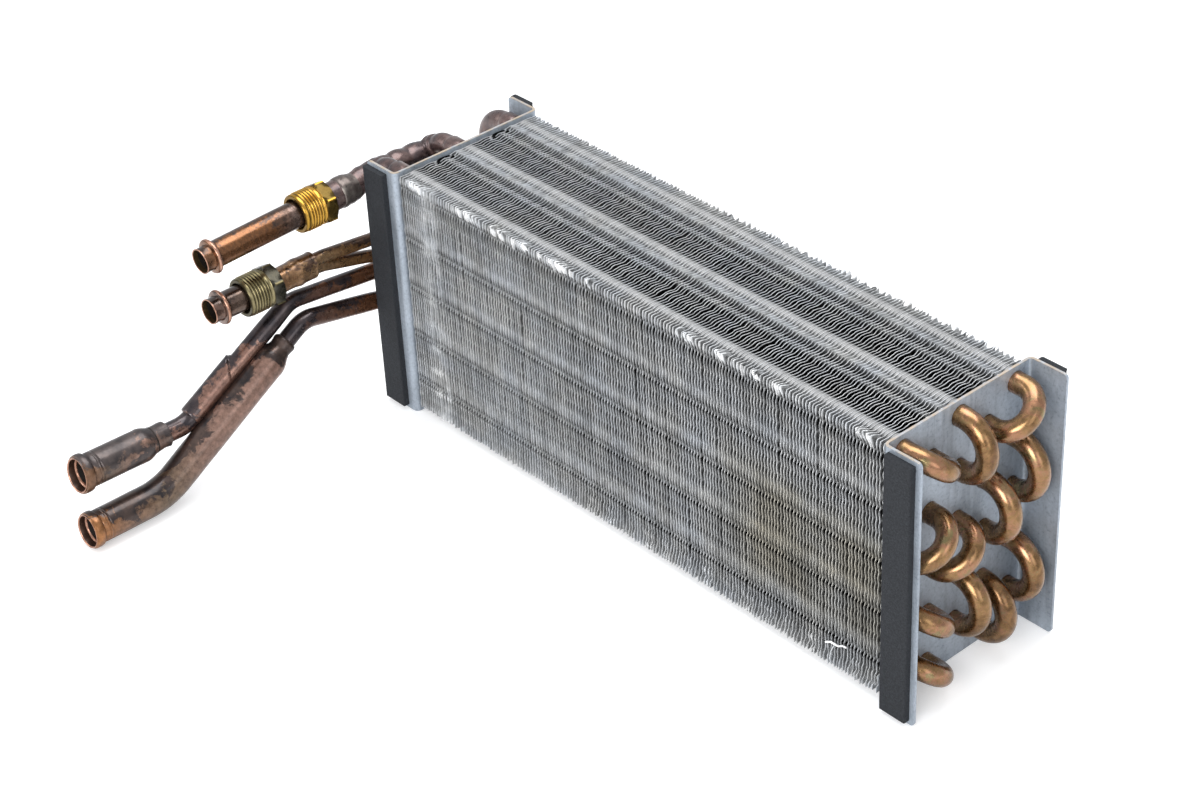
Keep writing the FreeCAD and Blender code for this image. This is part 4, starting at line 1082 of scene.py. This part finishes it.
def add_hose(side, path, steps, dent, material, rim, tilt, back):
    """A hose end. Its mouth faces up a little: the rim's top is drawn back, and its foot stands forward."""
    sides = 72
    verts, faces = sweep(path, steps, sides, dent)
    for v in verts:
        t = min(1, max(0, (rim.y + 9 - v.y) / 8))
        v.y += (tilt * (v.z - rim.z) / HOSE_R + back) * t
    # The rim's edge and the step are bare copper, the mouth is dark, and the bore is painted darker still as shade
    last = len(steps)
    marks = ((last - 10, last - 7, 1), (last - 7, last - 6, 2), (last - 6, last - 3, 1), (last - 3, last, 3))
    add_piece(
        f"hose_end_{side}_rolled", verts, faces, material, "oxidised_copper", [f"hose_end_{side}"],
        others=[ROSE, WALL, BORE_SHADE], chosen=painted(steps, sides, *marks),
    )


def saddle(angle, s, r):
    """The coupling's upper end: a clear step on the far side that fades into the pipe on the near side."""
    facing = 0.5 - 0.5 * cos(angle - radians(70))
    edge = 0.2 + 5.5 * facing
    return SLOPE_R - 0.3 + (r - SLOPE_R + 0.3) * smooth((s - edge) / (0.4 + 3.5 * facing))


def thick(path, heavy, light, start, end):
    """Steps whose radius falls from heavy to light between two distances."""
    return [(s, r + (light - heavy) * smooth((s - start) / (end - start))) for s, r in runs(0, path.length, 0.9, heavy)]


hose_start = UPPER_DIP + UPPER_AWAY * 10.8
path = Path(
    [hose_start + UPPER_AWAY * 8, UPPER_DIP, UPPER_CREST, (UPPER_X, upper_y - 15.2, 63.43),
     (UPPER_X, upper_y, upper_z), (PIPE_END, upper_y, upper_z)],
    [16, 14, 14, 8],
)
steps = thick(path, SLOPE_R, WATER_R, 76, 98)
add_sweep("water_tube_upper_bent", path, steps, 40, wobble(81, 0.07, 11), PIPE)
start = UPPER_CREST + UPPER_SLOPE * 36.5 + COUPLING_SIDE
path = Path([start, UPPER_DIP - UPPER_SLOPE * 3.6 + COUPLING_SIDE * 0.7])
end = path.length
steps = runs(0, 8, 0.25, COUPLING_R) + runs(8.5, end - 0.8, 0.8, COUPLING_R)
steps += [(end - 0.3, COUPLING_R - 0.15), (end, COUPLING_R - 0.5), (end, SLOPE_R - 0.4)]
add_sweep("water_coupling_brazed", path, steps, 56, wobble(82, 0.06, 7), PIPE, shape=saddle)
path = Path([hose_start, UPPER_RIM])
end = path.length
steps = [(0, SLOPE_R - 0.3), (0, 5.7)] + runs(0.4, 7, 0.5, HOSE_NECK_R)
steps += [(8, 6.25), (9, 6.6), (10.4, 7.2), (11.8, 7.7), (13.2, 7.95)] + runs(14, end - 10.6, 1, HOSE_R)
steps += hose_rim(end, HOSE_R, 1.15)
lumps = bumps(
    (3, 200, -0.5, 2.5, 1), (7, 300, 0.3, 2.5, 1), (10, 120, 0.25, 2.2, 1.2), (2, 60, 0.2, 2, 1),
    (15, 250, 0.12, 3, 1.2),
)
add_hose("upper", path, steps, both(lumps, wobble(83, 0.06, 9)), HOSE_UPPER, UPPER_RIM, 1, 0)

neck_start = LOWER_CREST + LOWER_SLOPE * 12.5
kink = (LOWER_X, lower_y - 8.4, lower_z + 6.2)
path = Path(
    [neck_start + LOWER_SLOPE * 8, LOWER_CREST, kink, (LOWER_X, lower_y, lower_z), (PIPE_END, lower_y, lower_z)],
    [14, 8, 5.5],
)
steps = thick(path, LOWER_SLOPE_R, WATER_R, 55, 75)
add_sweep("water_tube_lower_bent", path, steps, 40, wobble(84, 0.07, 11), PIPE)
path = Path([neck_start, LOWER_DIP, LOWER_RIM], [34])
end = path.length
steps = [(0, 4), (0, 4.8), (0.6, 5.2)] + runs(1.2, 5, 0.5, 5.4)
steps += [(6, 5.7), (7.4, 6.1), (9, 6.8), (11, 7.4), (13, 7.6), (15, LOWER_HOSE_R - 0.05)]
steps += runs(16, end - 10.6, 1, LOWER_HOSE_R) + hose_rim(end, LOWER_HOSE_R, 0.88)
lumps = bumps(
    (1.5, 20, 0.35, 1.6, 1.5), (4.5, 200, -0.4, 2.2, 1), (9, 20, 0.5, 2.4, 1.1), (12.5, 200, 0.3, 2.6, 1),
    (15, 60, -0.25, 2.8, 1.4), (7, 100, -0.3, 2, 1.2),
)
add_hose("lower", path, steps, both(lumps, wobble(85, 0.06, 9)), HOSE_LOWER, LOWER_RIM, 0.7, 0.7)

# A strip of fin torn loose near the right plate's foot, and the fin edge that it hung on
strip = Path(
    [(267.6, 2, 13.4), (271, 1.5, 15.6), (275.4, 1.4, 15.9), (277.6, 1.7, 17.3), (280.4, 1.9, 17.2)],
    [2, 3, 1.5],
)
# The strip is in the brighter aluminium: a painted highlight
add_sweep("torn_fin_strip", strip, runs(0, 13, 0.5, 0.42), 8, wobble(91, 0.09, 4), PAINTED_HIGHLIGHT, (), "fin_aluminium")
strip = Path([(272.6, 2.2, 15), (271, 1.6, 10.5), (269.9, 2.1, 5.6)], [6])
add_sweep("torn_fin_edge", strip, runs(0, 9.5, 0.5, 0.3), 8, wobble(92, 0.06, 3), ALUMINIUM, (), "fin_aluminium")

# Floor, light and camera
floor_look = Look("floor", roughness=0.9, specular=0.1)
floor_look.paint(0.82)
floor_look.set("Emission Color", 1)
rays = floor_look.node("LightPath")
floor_look.set("Emission Strength", floor_look.times(rays.outputs["Is Camera Ray"], 0.3))
bpy.ops.mesh.primitive_plane_add(size=12, location=(0, 0, -0.0002))
floor = bpy.context.object
floor.name = "floor"
floor.data.materials.append(floor_look.material)

# The sky lights the coil with a bluish grey, and the camera sees it white
world = bpy.data.worlds.new("studio")
bpy.context.scene.world = world
world.use_nodes = True
tree = world.node_tree
sky = tree.nodes["Background"]
white = tree.nodes.new("ShaderNodeBackground")
for light, colour, strength in ((sky, (0.93, 0.96, 1), 0.75), (white, (1, 1, 1), 1)):
    light.inputs["Color"].default_value = (*colour, 1)
    light.inputs["Strength"].default_value = strength
blend = tree.nodes.new("ShaderNodeMixShader")
seen = tree.nodes.new("ShaderNodeLightPath")
tree.links.new(seen.outputs["Is Camera Ray"], blend.inputs[0])
tree.links.new(sky.outputs[0], blend.inputs[1])
tree.links.new(white.outputs[0], blend.inputs[2])
tree.links.new(blend.outputs[0], tree.nodes["World Output"].inputs["Surface"])


def area_light(name, location, size, power):
    """A rectangular lamp that faces the coil."""
    lamp = bpy.data.lights.new(name, "AREA")
    lamp.shape = "RECTANGLE"
    lamp.size, lamp.size_y = size
    lamp.energy = power
    holder = bpy.data.objects.new(name, lamp)
    bpy.context.scene.collection.objects.link(holder)
    holder.location = location
    holder.rotation_euler = (CENTRE - Vector(location)).to_track_quat("-Z", "Y").to_euler()


CENTRE = Vector((0, 0.05, 0.06))
area_light("overhead", (-0.2, 0.35, 1.5), (1.3, 1), 20)
area_light("front_left", (-1, -1.2, 0.9), (0.8, 0.8), 7)
area_light("front_right", (0.9, -1.5, 0.9), (0.9, 0.9), 22)
area_light("right", (1.5, -0.2, 0.7), (0.6, 0.9), 3)

# The camera as worked out from the photograph
AZIMUTH = radians(49.73)
ELEVATION = radians(34.19)
ROLL = radians(-3.01)
FOCAL_PX = 2696.85
PHOTO_WIDTH = 1200
STAND = (863.5, -616.8, 719.3)
lens = bpy.data.cameras.new("camera")
lens.sensor_width = 36
lens.lens = FOCAL_PX / PHOTO_WIDTH * lens.sensor_width
lens.clip_start = 0.01
lens.clip_end = 50
camera = bpy.data.objects.new("camera", lens)
bpy.context.scene.collection.objects.link(camera)
back = Vector((sin(AZIMUTH) * cos(ELEVATION), -cos(AZIMUTH) * cos(ELEVATION), sin(ELEVATION)))
right = (-back).cross(Vector((0, 0, 1))).normalized()
up = back.cross(right)
turned_right = right * cos(ROLL) + up * sin(ROLL)
turned_up = up * cos(ROLL) - right * sin(ROLL)
camera.matrix_world = Matrix.Translation(at(*STAND)) @ Matrix((turned_right, turned_up, back)).transposed().to_4x4()
bpy.context.scene.camera = camera
bpy.context.scene.view_settings.view_transform = "Standard"
